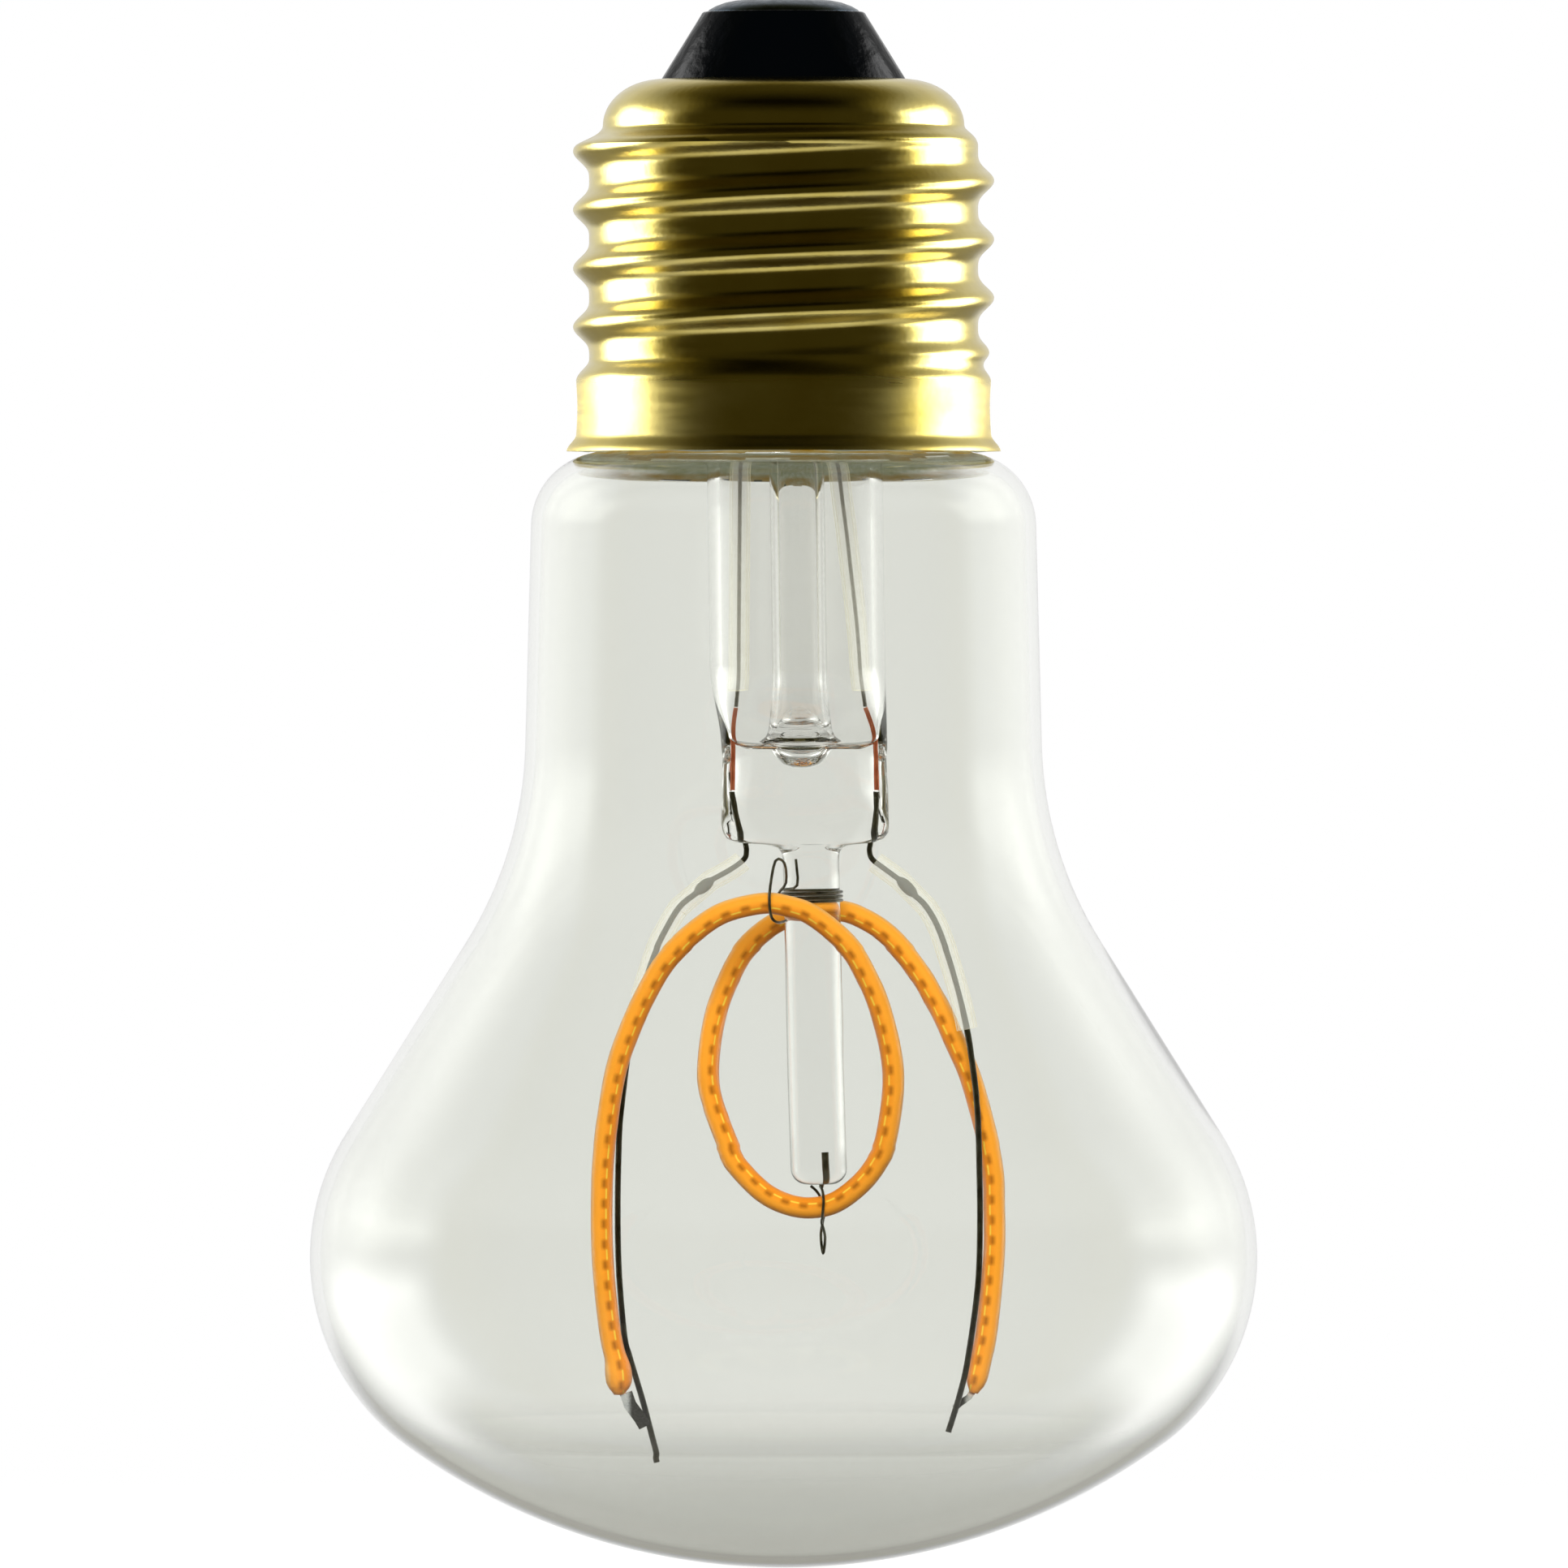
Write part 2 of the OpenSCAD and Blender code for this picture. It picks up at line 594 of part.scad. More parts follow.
function stem_x(depth) = stem_shift + (depth - stem_depth) * tan(stem_lean)
    + press_shift * ease((depth - press_start) / (press_depth - press_start));
function oval_ring(x, depth, rx, ry) = [
    for (k = [0:stem_sides - 1])
        [x + rx * cos(360 * k / stem_sides), ry * sin(360 * k / stem_sides), -depth]
];
stem_r = stem_d / 2;
flare_r = throat_d / 2;
flare_end = stem_depth + flare_h;
function flare_ring(angle, inset) = oval_ring(
    stem_x(flare_end) * cos(angle),
    flare_end - (flare_h + inset) * sin(angle),
    mix(flare_r, stem_r - inset, cos(angle)),
    mix(flare_r, stem_r - inset, cos(angle))
);
function press_ring(t, inset) = oval_ring(
    stem_x(mix(press_start, press_depth, t)),
    mix(press_start, press_depth, t),
    mix(stem_r, press_w / 2, ease(t)) - inset,
    mix(stem_r, press_t / 2 - 0.3, ease(t)) - inset
);

module stem_tube() color([0.86, 0.88, 0.86, 0.4])
    skin(concat(
        [for (angle = [90:-22.5:0]) flare_ring(angle, 0)],
        [for (t = [0:0.25:1]) press_ring(t, 0)],
        [for (t = [1:-0.25:0]) press_ring(t, stem_wall)],
        [for (angle = [0:22.5:90]) flare_ring(angle, stem_wall)]
    ), looped = true);

// The solid end of the stem, with the bores of the wires, the rod and the blow hole
seal_top = press_depth + 2 * seal_gap;
seal_rows = [
    [0, press_w / 2, press_t / 2 - 0.3], [0.3, press_w / 2 - 0.1, press_t / 2 - 0.1],
    [0.75, press_w / 2 + 0.05, press_t / 2], [0.92, press_w / 2, press_t / 2 - 0.1],
    [1, press_w / 2 - 0.6, press_t / 2 - 0.35]
];
blow_hole_depth = seal_top + exhaust_bore * 0.75;

module pinch_seal() color([0.86, 0.88, 0.86, 0.4])
    difference() {
        skin([for (row = seal_rows)
            let (depth = mix(seal_top, press_end, row[0]))
            oval_ring(stem_x(depth), depth, row[1], row[2])]);
        for (side = [-1, 1]) wire(seal_bore(side), support_d + 2 * seal_gap);
        rod_place() translate([0, 0, -1])
            cylinder(d = rod_d + 2 * seal_gap, h = rod_hold + 1 + seal_gap, $fn = 24);
        translate([exhaust_x(seal_top), 0, -blow_hole_depth])
            cylinder(d = exhaust_bore, h = blow_hole_depth, $fn = 16);
        translate([exhaust_x(seal_top), press_t, -blow_hole_depth])
            rotate([90, 0, 0]) cylinder(d = exhaust_bore, h = 2 * press_t, $fn = 16);
    }

// The exhaust tube opens between the pressed walls, and its other end is melted shut
exhaust_h = (exhaust_foot - exhaust_tip) / cos(exhaust_lean);
exhaust_foot_x = stem_x(exhaust_foot) - 0.22;
function exhaust_x(depth) = exhaust_foot_x + (depth - exhaust_foot) * tan(exhaust_lean);
module exhaust_tube() color([0.86, 0.88, 0.86, 0.4])
    translate([exhaust_foot_x, 0, -exhaust_foot])
        rotate([0, -exhaust_lean, 0])
            rotate_extrude()
                polygon([
                    [exhaust_bore / 2 + 0.15, 0], [exhaust_d / 2 + 0.2, 0],
                    [exhaust_d / 2, 1], [exhaust_d / 2, exhaust_h - 1.6],
                    [exhaust_d / 2 - 0.5, exhaust_h - 0.5], [0.35, exhaust_h], [0, exhaust_h],
                    [0, exhaust_h - 1.4], [0.5, exhaust_h - 1.8], [exhaust_bore / 2, exhaust_h - 2.6],
                    [exhaust_bore / 2, 1]
                ]);

// The rod hangs from the seal; its rounded end holds the anchor of the lower tie
rod_r = rod_d / 2;
rod_x = stem_x(press_end) + 0.3;
function rod_axis(depth) = rod_x + (depth - press_end) * tan(rod_lean);
module rod_place() translate([rod_axis(press_end), 0, -press_end]) rotate([0, -rod_lean, 0]) children();
rod_below = rod_l / cos(rod_lean);
anchor_x = 0.55;

module support_rod() color([0.86, 0.88, 0.86, 0.4])
    difference() {
        rod_place() rotate_extrude()
            polygon(concat(
                [[0, rod_hold], [rod_r - 0.2, rod_hold], [rod_r, rod_hold - 0.2]],
                [for (a = [0:18:90]) [rod_r - 1 + cos(a), 1 - rod_below - sin(a)]],
                [[0, -rod_below]]
            ));
        anchor_place() translate([0, 0, -2]) cylinder(d = anchor_d + 2 * seal_gap, h = anchor_l + 2, $fn = 24);
    }

// The anchor stands in a bore at the rod's end and looks out a little
anchor_out = 0.35;
module anchor_place()
    translate([rod_axis(rod_end) + anchor_x, 0, -rod_end]) rotate([0, -rod_lean, 0]) children();
module anchor_wire() color("#33322C")
    anchor_place() translate([0, 0, -anchor_out])
        cylinder(d = anchor_d, h = anchor_out + anchor_l - seal_gap, $fn = 24);

// Wires of one side. The left side is -1 and the right side is 1

// Sideways place of a seal wire, and of the inner lead where it leaves the seal
function seal_x(side, depth) = stem_x(depth) + side * seal_reach;
function exit_x(side) = stem_x(press_end) + (side < 0 ? -left_exit : right_exit);
function hole_x(side) = side < 0 ? left_hole : right_hole;
splice = mix(press_depth, press_end, 0.45);
lead_sleeve_end = press_depth - lead_sleeve_gap;
lead_end = lead_sleeve_end + 0.4;
function lead_end_x(side) = stem_x(lead_end) + side * lead_reach;

// From the board down the stem to the splice with the seal wire
function lead_run(side) = bent([
    at(hole_x(side), board_top - 0.5), at(hole_x(side), board_bottom + 1),
    at(mix(hole_x(side), lead_end_x(side), 0.12), mix(board_bottom, lead_end, 0.35)),
    at(mix(hole_x(side), lead_end_x(side), 0.75), mix(board_bottom, lead_end, 0.8)),
    at(lead_end_x(side), lead_end)
], 1);
// The seal wire runs through the glass to the splice with the inner lead
function seal_run(side) = [
    at(lead_end_x(side), lead_end + seal_gap),
    at(seal_x(side, press_depth - 1), press_depth - 1),
    at(seal_x(side, press_depth), press_depth),
    at(seal_x(side, splice), splice - seal_gap)
];
// The bore of the seal holds the seal wire and the inner lead in one line
function seal_bore(side) = [
    at(seal_x(side, press_depth), press_depth - 0.5),
    at(seal_x(side, splice), splice),
    at(exit_x(side), press_end),
    at(exit_x(side), press_end + 1)
];
function bead_at(side) = at(stem_x(press_end) + side * bead_reach, press_end + bead_drop);
bead_half = bead_l / 2;
function bead_dir(side) = unit(at(side * 1.2, 1));
function inner_run(side) = concat(
    [at(seal_x(side, splice), splice + seal_gap)],
    bent([
        at(exit_x(side), press_end), at(exit_x(side) - side * 0.1, press_end + 0.4), knee(side),
        bead_at(side) - bead_dir(side) * (bead_half + seal_gap)
    ], 1)
);
function knee(side) = at(exit_x(side) - side * 0.1, press_end + 0.9);

// The support wire bows outwards from the bead to its tip. Its control points are
// shares of the wire's reach and of the drop from the seal to the tip.
function reach(side) = side < 0 ? left_reach : right_reach;
function tip_depth(side) = bulb_length - (side < 0 ? left_clear : right_clear);
support_shape = [
    [0.7, 0.115], [0.845, 0.2], [0.955, 0.34], [1, 0.52], [1.005, 0.7], [0.94, 0.85], [0.81, 1]
];
function support_run(side) = bent(concat(
    [bead_at(side) + bead_dir(side) * (bead_half + seal_gap)],
    [for (p = support_shape)
        at(stem_x(press_end) + side * reach(side) * p[0], mix(press_end, tip_depth(side), p[1]))]
));
function between(run, from, to) = [for (p = run) if (-p[2] > from && -p[2] < to) p];

module lead(side) color("#6E6A5E") wire(lead_run(side), lead_d);
// A sleeve follows its lead and ends a little above the lead's end
module lead_sleeve(side) color([0.85, 0.85, 0.82, 0.5])
    sleeve(concat(
        [at(hole_x(side), board_bottom + 0.8)],
        between(lead_run(side), board_bottom + 2, lead_sleeve_end - 0.5),
        [at(lead_end_x(side), lead_sleeve_end)]
    ), lead_sleeve_d, sleeve_wall);
module seal_wire(side) color("#B4593A") wire(seal_run(side), seal_wire_d);
module inner_lead(side) color("#3A3A30") wire(inner_run(side), support_d * 0.9);
module weld_bead(side) color("#2C2C28")
    bead(bead_at(side) - bead_dir(side) * bead_half, bead_at(side) + bead_dir(side) * bead_half,
        support_d * 2);
module support_wire(side) color("#3A3A30") wire(support_run(side), support_d);
// The sleeve of a support wire starts at the knee of the inner lead and covers the bead
function sleeve_drop(side) = side < 0 ? left_sleeve_drop : right_sleeve_drop;
module support_sleeve(side) color([0.85, 0.85, 0.7, 0.5])
    sleeve(concat(
        [mix(knee(side), bead_at(side), 0.15), bead_at(side)],
        between(support_run(side), press_end + bead_drop + bead_half, press_end + sleeve_drop(side))
    ), support_sleeve_d, sleeve_wall);

module left_lead() lead(-1);
module right_lead() lead(1);
module left_lead_sleeve() lead_sleeve(-1);
module right_lead_sleeve() lead_sleeve(1);
module left_seal_wire() seal_wire(-1);
module right_seal_wire() seal_wire(1);
module left_inner_lead() inner_lead(-1);
module right_inner_lead() inner_lead(1);
module left_weld_bead() weld_bead(-1);
module right_weld_bead() weld_bead(1);
module left_support_wire() support_wire(-1);
module right_support_wire() support_wire(1);
module left_support_sleeve() support_sleeve(-1);
module right_support_sleeve() support_sleeve(1);

// Filament: a flexible strip of diodes in phosphor silicone, looped once round the rod.
// Its middle line is a chain of quarter ellipses between the points where it turns.

front_top = press_end + front_drop;
rear_top = press_end + rear_drop;
band_end = bulb_length - band_clear;
band_off = rod_r + band_gap + band_w / 2;
loop_bottom = rod_end + loop_drop + band_t / 2;
loop_x = rod_axis(mix(front_top, rod_end, 0.62)) - 0.9;
leg_mid = stem_x(press_end) - 0.43;
left_leg = leg_mid - leg_spread / 2;
right_leg = leg_mid + leg_spread / 2;
// The left leg stands a little in front of its support wire and the right leg behind its own
leg_front = support_sleeve_d;
foot_front = support_d + band_w / 2;
turning_points = [
    at(left_leg, bulb_length - left_leg_h, leg_front),
    at(front_x, front_top, band_off),
    at(loop_x + loop_w / 2, mix(front_top, loop_bottom, 0.58), band_off * 0.82),
    at(loop_x + 0.34, loop_bottom, 0),
    at(loop_x - loop_w / 2, mix(front_top, loop_bottom, 0.55), -band_off * 0.82),
    at(rear_x, rear_top, -band_off),
    at(right_leg, bulb_length - right_leg_h, -leg_front)
];
// Quarter from a side point to a top or bottom point, or back again. Its corner is
// fuller than an ellipse's where the fullness is above 2, and flatter below 2.
fullness = [2.04, 1.96, 2, 2, 2.08, 1.94];
function quarter(i, a) =
    let (p = turning_points[i], q = turning_points[i + 1], power = 2 / fullness[i],
        along = pow(sin(a), power), back = pow(cos(a), power))
    [
        i % 2 == 0 ? mix(q[0], p[0], back) : mix(p[0], q[0], along),
        mix(p[1], q[1], ease(a / 90)),
        i % 2 == 0 ? mix(p[2], q[2], along) : mix(q[2], p[2], back)
    ];
leg_steps = 10;
function leg(from, lean, front) = [
    for (i = [0:leg_steps])
        let (t = i / leg_steps)
        [from[0] + lean * t * t, mix(from[1], -front, t), mix(from[2], -band_end, t)]
];
middle_line = concat(
    backwards(leg(turning_points[0], 1.35, foot_front)),
    [for (i = [0:5], a = [5:5:90]) quarter(i, a)],
    [for (i = [1:leg_steps]) leg(turning_points[6], -1.25, -foot_front)[i]]
);
run_lengths = [
    for (i = 0, s = 0; i < len(middle_line);
        i = i + 1, s = i < len(middle_line) ? s + norm(middle_line[i] - middle_line[i - 1]) : s) s
];
band_length = run_lengths[len(run_lengths) - 1];
band_table = [
    for (axis = [0:2]) [for (i = [0:len(middle_line) - 1]) [run_lengths[i], middle_line[i][axis]]]
];
function band_point(s) = [for (axis = [0:2]) lookup(s, band_table[axis])];
chip_count = floor(band_length / chip_pitch);
band_run = [for (i = [0:chip_count]) band_point(band_length * i / chip_count)];
function band_heading(i) = heading(band_run, i);
function band_side(i) = square_to([0, 1, 0], band_heading(i));
module band(section) skin([for (i = [0:chip_count])
    placed(section(i), band_run[i], band_heading(i), band_side(i))]);

// Across the filament, the first coordinate points out of the loop and the second backwards
strip_out = 0.17;
strip_in = strip_out - strip_t;
half_t = band_t / 2;
half_w = band_w / 2;
groove_w = diode_w + 0.2;
groove_h = diode_t + bond_d + 3 * seal_gap;
end_taper = function (i) i == 0 || i == chip_count ? 0.8 : 1;
strip_half = half_w - 0.1;
strip_section = function (i)
    [[strip_out, -strip_half], [strip_out, strip_half], [strip_in, strip_half], [strip_in, -strip_half]];
function half_oval(base, depth, i, angles) = [
    for (a = angles) [base + depth * end_taper(i) * cos(a), half_w * end_taper(i) * sin(a)]
];
outer_section = function (i) half_oval(strip_out + seal_gap, half_t - strip_out, i, [-90:30:90]);
inner_section = function (i)
    let (flat = strip_in - seal_gap, closed = i == 0 || i == chip_count,
        groove = flat - (closed ? seal_gap / 2 : groove_h))
    concat(
        half_oval(flat, half_t + flat, i, [180:30:270]),
        [[flat, -groove_w / 2], [groove, -groove_w / 2], [groove, groove_w / 2], [flat, groove_w / 2]],
        half_oval(flat, half_t + flat, i, [90:30:150])
    );

module filament_strip() color("#C9B27A") band(strip_section);
module outer_phosphor() color("#EE9A2B") band(outer_section);
module inner_phosphor() color("#E58F28") band(inner_section);

// One diode lies flat on each straight piece of the strip
module on_strip(point, t, side) {
    out = cross(t, side);
    multmatrix([
        [t[0], side[0], out[0], point[0]],
        [t[1], side[1], out[1], point[1]],
        [t[2], side[2], out[2], point[2]],
        [0, 0, 0, 1]
    ]) children();
}
diode_lift = strip_in - seal_gap / 2;
module led_chips() color("#7A5228")
    for (i = [1:chip_count - 2]) {
        t = unit(band_run[i + 1] - band_run[i]);
        on_strip((band_run[i] + band_run[i + 1]) / 2, t, square_to([0, 1, 0], t))
            translate([0, 0, diode_lift - diode_t / 2]) cube([diode_l, diode_w, diode_t], center = true);
    }
// Bond wires join each diode to the next
module bond_wires() color("#E7C24B")
    for (i = [2:chip_count - 2])
        on_strip(band_run[i], band_heading(i), band_side(i))
            translate([0, 0, diode_lift - diode_t - 2 * seal_gap - bond_d / 2])
                cube([chip_pitch - diode_l + 0.2, bond_d, bond_d], center = true);

// Metal tabs from the ends of the strip to the support wires
tab_t = 0.14;
function tab_section(w) = w / 2 * [for (k = [[1, -1], [1, 1], [-1, 1], [-1, -1]]) [k[0], k[1] * tab_t / w]];
function support_point(side, depth) =
    let (run = support_run(side), table = [for (p = run) [-p[2], p[0]]])
    at(lookup(depth, table), depth);
module tab(side, w, drop) {
    last = side < 0 ? band_run[0] : band_run[chip_count];
    top = last + at(-side * 0.05, 0.15);
    lift = support_d / 2 + tab_t / 2 + 2 * seal_gap;
    foot = support_point(side, band_end + drop) + at(side * 0.1, 0, -side * lift);
    run = [top, mix(top, foot, 0.35) + at(side * 0.15, 0), mix(top, foot, 0.75), foot];
    skin([for (i = [0:3])
        placed(tab_section(w), run[i], heading(run, i), square_to([0, 1, 0], heading(run, i)))]);
}
module left_end_tab() color("#B9BCC0") tab(-1, 0.8, 2.4);
module right_end_tab() color("#8A8A86") tab(1, 0.4, 1.2);

// Upper tie: a loop round the arch in front of the rod, turns round the rod and a free end
tie_depth = press_end + winding_drop;
tie_r = rod_r + tie_d / 2 + seal_gap;
tie_pitch = tie_d + 0.05;
tie_start = 205;
function tie_helix(turn) =
    let (depth = tie_depth - tie_pitch * turn, angle = 360 * turn + tie_start)
    [rod_axis(depth) + tie_r * cos(angle), tie_r * sin(angle), -depth];
arch_x = -0.4;
arch_front = band_off + half_w + tie_d;
tie_top = tie_depth - tie_pitch * (tie_turns + 0.1);
arch_low = front_top + half_t;
upper_tie_run = concat(
    bent([
        at(0.15, arch_low + 0.45, arch_front - 1.1),
        at(arch_x + 0.1, arch_low + 0.55, arch_front - 0.5),
        at(arch_x - 0.3, arch_low + 0.3, arch_front + 0.15),
        at(arch_x - 0.45, front_top, arch_front + 0.25),
        at(arch_x - 0.4, front_top - half_t - 0.4, arch_front + 0.1),
        at(arch_x - 0.1, front_top - 2.8, arch_front - 0.4),
        at(0.15, front_top - 2.3, arch_front - 1),
        at(0.15, front_top - 1.3, arch_front - 2),
        at(-0.35, tie_depth - 0.6, 0.9),
        tie_helix(0) + [-0.1, 0.05, 0.05]
    ], 1),
    [for (turn = [0:1 / 16:tie_turns + 0.1]) tie_helix(turn)],
    [at(rod_axis(tie_top) - 0.9, tie_top - 0.25, tie_r + 0.05),
        at(rod_axis(tie_top) - 0.98, tie_top - 1.9, tie_r + 0.15)]
);
module upper_tie_wire() color("#33322C") wire(upper_tie_run, tie_d, start = [0, 0, 1]);

// Lower tie: hooked over the loop of the filament and twisted shut below it
lower_x = rod_axis(rod_end) + anchor_x - 0.2;
lower_side = half_w + tie_d / 2 + 0.12;
loop_under = loop_bottom + half_t;
module lower_tie_wire() color("#33322C")
    wire(bent([
        at(lower_x - 0.85, rod_end + 0.35, lower_side),
        at(lower_x - 0.2, loop_bottom - half_t, lower_side + 0.05),
        at(lower_x, loop_bottom, lower_side + 0.05),
        at(lower_x, loop_under + 0.3, lower_side - 0.1),
        at(lower_x + 0.12, loop_under + 1, 0.25),
        at(lower_x + 0.02, loop_bottom + tie_drop + 0.15, 0.05),
        at(lower_x - 0.1, loop_under + 1, -0.25),
        at(lower_x, loop_under + 0.3, 0.1 - lower_side),
        at(lower_x, loop_bottom, -lower_side - 0.05),
        at(lower_x + 0.05, loop_bottom - half_t, -lower_side),
        at(lower_x + 0.1, rod_end + anchor_out + tie_d / 2 + seal_gap, 0)
    ], 1), tie_d, start = [1, 0, 0]);

// Least free space between two turns of the filament and of the wires wound on the rod
function least_gap(run, apart, width) = min([
    for (i = [0:len(run) - 1], j = [i + apart:len(run) - 1]) norm(run[i] - run[j])
]) - width;
echo(filament_gap = least_gap(band_run, 12, band_w), filament_length = band_length, diodes = chip_count);

screw_shell();
insulator();
centre_contact();
basing_cement();
driver_board();
bridge_rectifier();
smoothing_capacitor();
driver_chip();
chip_resistors();
fusible_resistor();
live_lead();
neutral_lead();
glass_bulb();
stem_tube();
pinch_seal();
exhaust_tube();
support_rod();
left_lead();
right_lead();
left_lead_sleeve();
right_lead_sleeve();
left_seal_wire();
right_seal_wire();
left_inner_lead();
right_inner_lead();
left_weld_bead();
right_weld_bead();
left_support_wire();
right_support_wire();
left_support_sleeve();
right_support_sleeve();
filament_strip();
led_chips();
bond_wires();
inner_phosphor();
outer_phosphor();
left_end_tab();
right_end_tab();
upper_tie_wire();
anchor_wire();
lower_tie_wire();
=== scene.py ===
"""A clear LED filament bulb with a brass screw cap, its glass hanging below the cap."""

import math

import bmesh
import bpy
from mathutils import Matrix, Vector


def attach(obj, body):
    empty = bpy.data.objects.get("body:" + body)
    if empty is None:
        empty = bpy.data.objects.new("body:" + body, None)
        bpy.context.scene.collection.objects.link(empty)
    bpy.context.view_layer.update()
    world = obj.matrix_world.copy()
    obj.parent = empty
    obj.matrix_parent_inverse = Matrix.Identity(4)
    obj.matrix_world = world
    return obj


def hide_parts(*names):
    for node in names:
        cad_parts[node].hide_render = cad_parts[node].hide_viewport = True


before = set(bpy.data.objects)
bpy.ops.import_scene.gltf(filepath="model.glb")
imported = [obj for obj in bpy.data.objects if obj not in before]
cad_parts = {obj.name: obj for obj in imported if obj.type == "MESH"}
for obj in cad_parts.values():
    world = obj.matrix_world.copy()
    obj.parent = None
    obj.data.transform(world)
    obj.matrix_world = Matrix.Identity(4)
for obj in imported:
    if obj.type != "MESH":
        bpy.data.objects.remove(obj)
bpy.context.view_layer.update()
scene = bpy.context.scene
MM = 0.001

# Camera
# A long lens from a little over a metre, looking half a degree down at the middle of the
# bulb. The frame is as high as the bulb is long.
FRAME_HEIGHT = 97.15
CAMERA_DISTANCE = 1350
CAMERA_TILT = math.radians(0.5)
SENSOR_WIDTH = 36
AIM_RIGHT = 0.025
aim = Vector((AIM_RIGHT, 0, -FRAME_HEIGHT / 2)) * MM

camera_data = bpy.data.cameras.new("camera")
camera_data.sensor_width = SENSOR_WIDTH
camera_data.lens = SENSOR_WIDTH * CAMERA_DISTANCE / FRAME_HEIGHT
camera = bpy.data.objects.new("camera", camera_data)
scene.collection.objects.link(camera)
towards_camera = Vector((0, -math.cos(CAMERA_TILT), math.sin(CAMERA_TILT)))
camera.location = aim + towards_camera * CAMERA_DISTANCE * MM
camera.rotation_euler = (math.pi / 2 - CAMERA_TILT, 0, 0)
scene.camera = camera
scene.view_settings.view_transform = "Standard"

# The light crosses up to a dozen glass surfaces on its way through bulb, stem and rod
GLASS_BOUNCES, MIRROR_BOUNCES = 32, 8
scene.cycles.max_bounces = GLASS_BOUNCES
scene.cycles.transmission_bounces = GLASS_BOUNCES
scene.cycles.transparent_max_bounces = GLASS_BOUNCES
scene.cycles.glossy_bounces = MIRROR_BOUNCES
scene.cycles.caustics_reflective = False
scene.cycles.caustics_refractive = False


# World
# A white studio whose camera side is dark and hung with brown cloth, with a tall softbox
# on each side, a little behind the bulb. Clear glass shows the boxes weakly above the
# bulb's middle and strongly below it. Satin brass shows them burnt out.
BACK_LEVEL, ROOM_LEVEL, TABLE_LEVEL = 0.85, 0.045, 0.9
SHADE_LEVEL, SKY_LEVEL, SEEN_EDGE_LEVEL = 0.4, 0.06, 0.1
METAL_BOX, DIFFUSE_BOX = 8, 5
GLASS_BOX_HIGH, GLASS_BOX_LOW, GLASS_ROOM_LEVEL = 0.3, 2.3, 0.45
CLOTH_BROWN, CLOTH_LEVELS = (1, 0.84, 0.22, 1), (0.06, 0.5)
WHITE = (1, 1, 1, 1)
# Every edge is a soft step between two values of the direction's X, Y or Z
BLURRED_SIDE, BLURRED_FRONT, BLURRED_BACK = (0.55, 0.8), (-0.24, 0.14), (0.78, 0.5)
BLURRED_FOOT, BLURRED_TOP = (-0.62, -0.4), (0.52, 0.3)
SHARP_SIDE, SHARP_FRONT, SHARP_BACK = (0.2, 0.45), (0.05, 0.3), (0.92, 0.64)
SHARP_FOOT, SHARP_MIDDLE, SHARP_TOP = (-0.7, -0.5), (-0.2, 0.03), (0.85, 0.6)
ROOM_EDGE, SKY_EDGE, SEEN_EDGE, DIM_EDGE = (-0.45, 0.35), (0.45, 0.9), (0.2, 0.85), (0.65, 0.3)
SHADE_TOP, SHADE_FRONT = (-0.05, -0.35), (0.2, 0.45)
TABLE_TOP, TABLE_BACK = (-0.55, -0.9), (0.3, 0.0)


def add(tree, kind, settings=None, inputs=None):
    """Adds a node. Each input is a value or the socket that feeds it."""
    node = tree.nodes.new(kind)
    for name, value in (settings or {}).items():
        setattr(node, name, value)
    for name, value in (inputs or {}).items():
        if isinstance(value, bpy.types.NodeSocket):
            tree.links.new(value, node.inputs[name])
        else:
            node.inputs[name].default_value = value
    return node


world = bpy.data.worlds.new("white_studio")
scene.world = world
world.use_nodes = True
studio = world.node_tree
studio.nodes.clear()
direction = add(studio, "ShaderNodeSeparateXYZ", inputs={
    "Vector": add(studio, "ShaderNodeTexCoord").outputs["Generated"]})
right, back, up = direction.outputs


def ramp(tree, value, start, end, low=0.0, high=1.0):
    """A smooth step from low at start to high at end."""
    return add(tree, "ShaderNodeMapRange", {"interpolation_type": "SMOOTHSTEP"}, {
        "Value": value, "From Min": start, "From Max": end, "To Min": low, "To Max": high}).outputs[0]


def maths(tree, operation, first, second=0.0):
    return add(tree, "ShaderNodeMath", {"operation": operation}, {0: first, 1: second}).outputs[0]


def product(tree, *values):
    """The product of two or more values."""
    result = values[0]
    for value in values[1:]:
        result = maths(tree, "MULTIPLY", result, value)
    return result


MIX_A, MIX_B, MIX_COLOUR = 6, 7, 2
sideways = maths(studio, "ABSOLUTE", right)
front_edge = ramp(studio, back, *BLURRED_FRONT)
soft_box = product(
    studio, ramp(studio, sideways, *BLURRED_SIDE), front_edge, front_edge,
    ramp(studio, back, *BLURRED_BACK), ramp(studio, up, *BLURRED_FOOT), ramp(studio, up, *BLURRED_TOP))
sharp_box = product(
    studio, ramp(studio, sideways, *SHARP_SIDE), ramp(studio, back, *SHARP_FRONT),
    ramp(studio, back, *SHARP_BACK), ramp(studio, up, *SHARP_FOOT), ramp(studio, up, *SHARP_TOP),
    ramp(studio, up, *SHARP_MIDDLE, GLASS_BOX_LOW, GLASS_BOX_HIGH))
room = ramp(studio, back, *ROOM_EDGE, ROOM_LEVEL, BACK_LEVEL)
shade = product(studio, ramp(studio, up, *SHADE_TOP), ramp(studio, back, *SHADE_FRONT))
room = product(studio, room, ramp(studio, shade, 0.0, 1.0, 1.0, SHADE_LEVEL))
table = product(studio, ramp(studio, up, *TABLE_TOP), ramp(studio, back, *TABLE_BACK), TABLE_LEVEL)
room = maths(studio, "MAXIMUM", room, table)
room = product(studio, room, ramp(studio, up, *SKY_EDGE, 1.0, SKY_LEVEL))
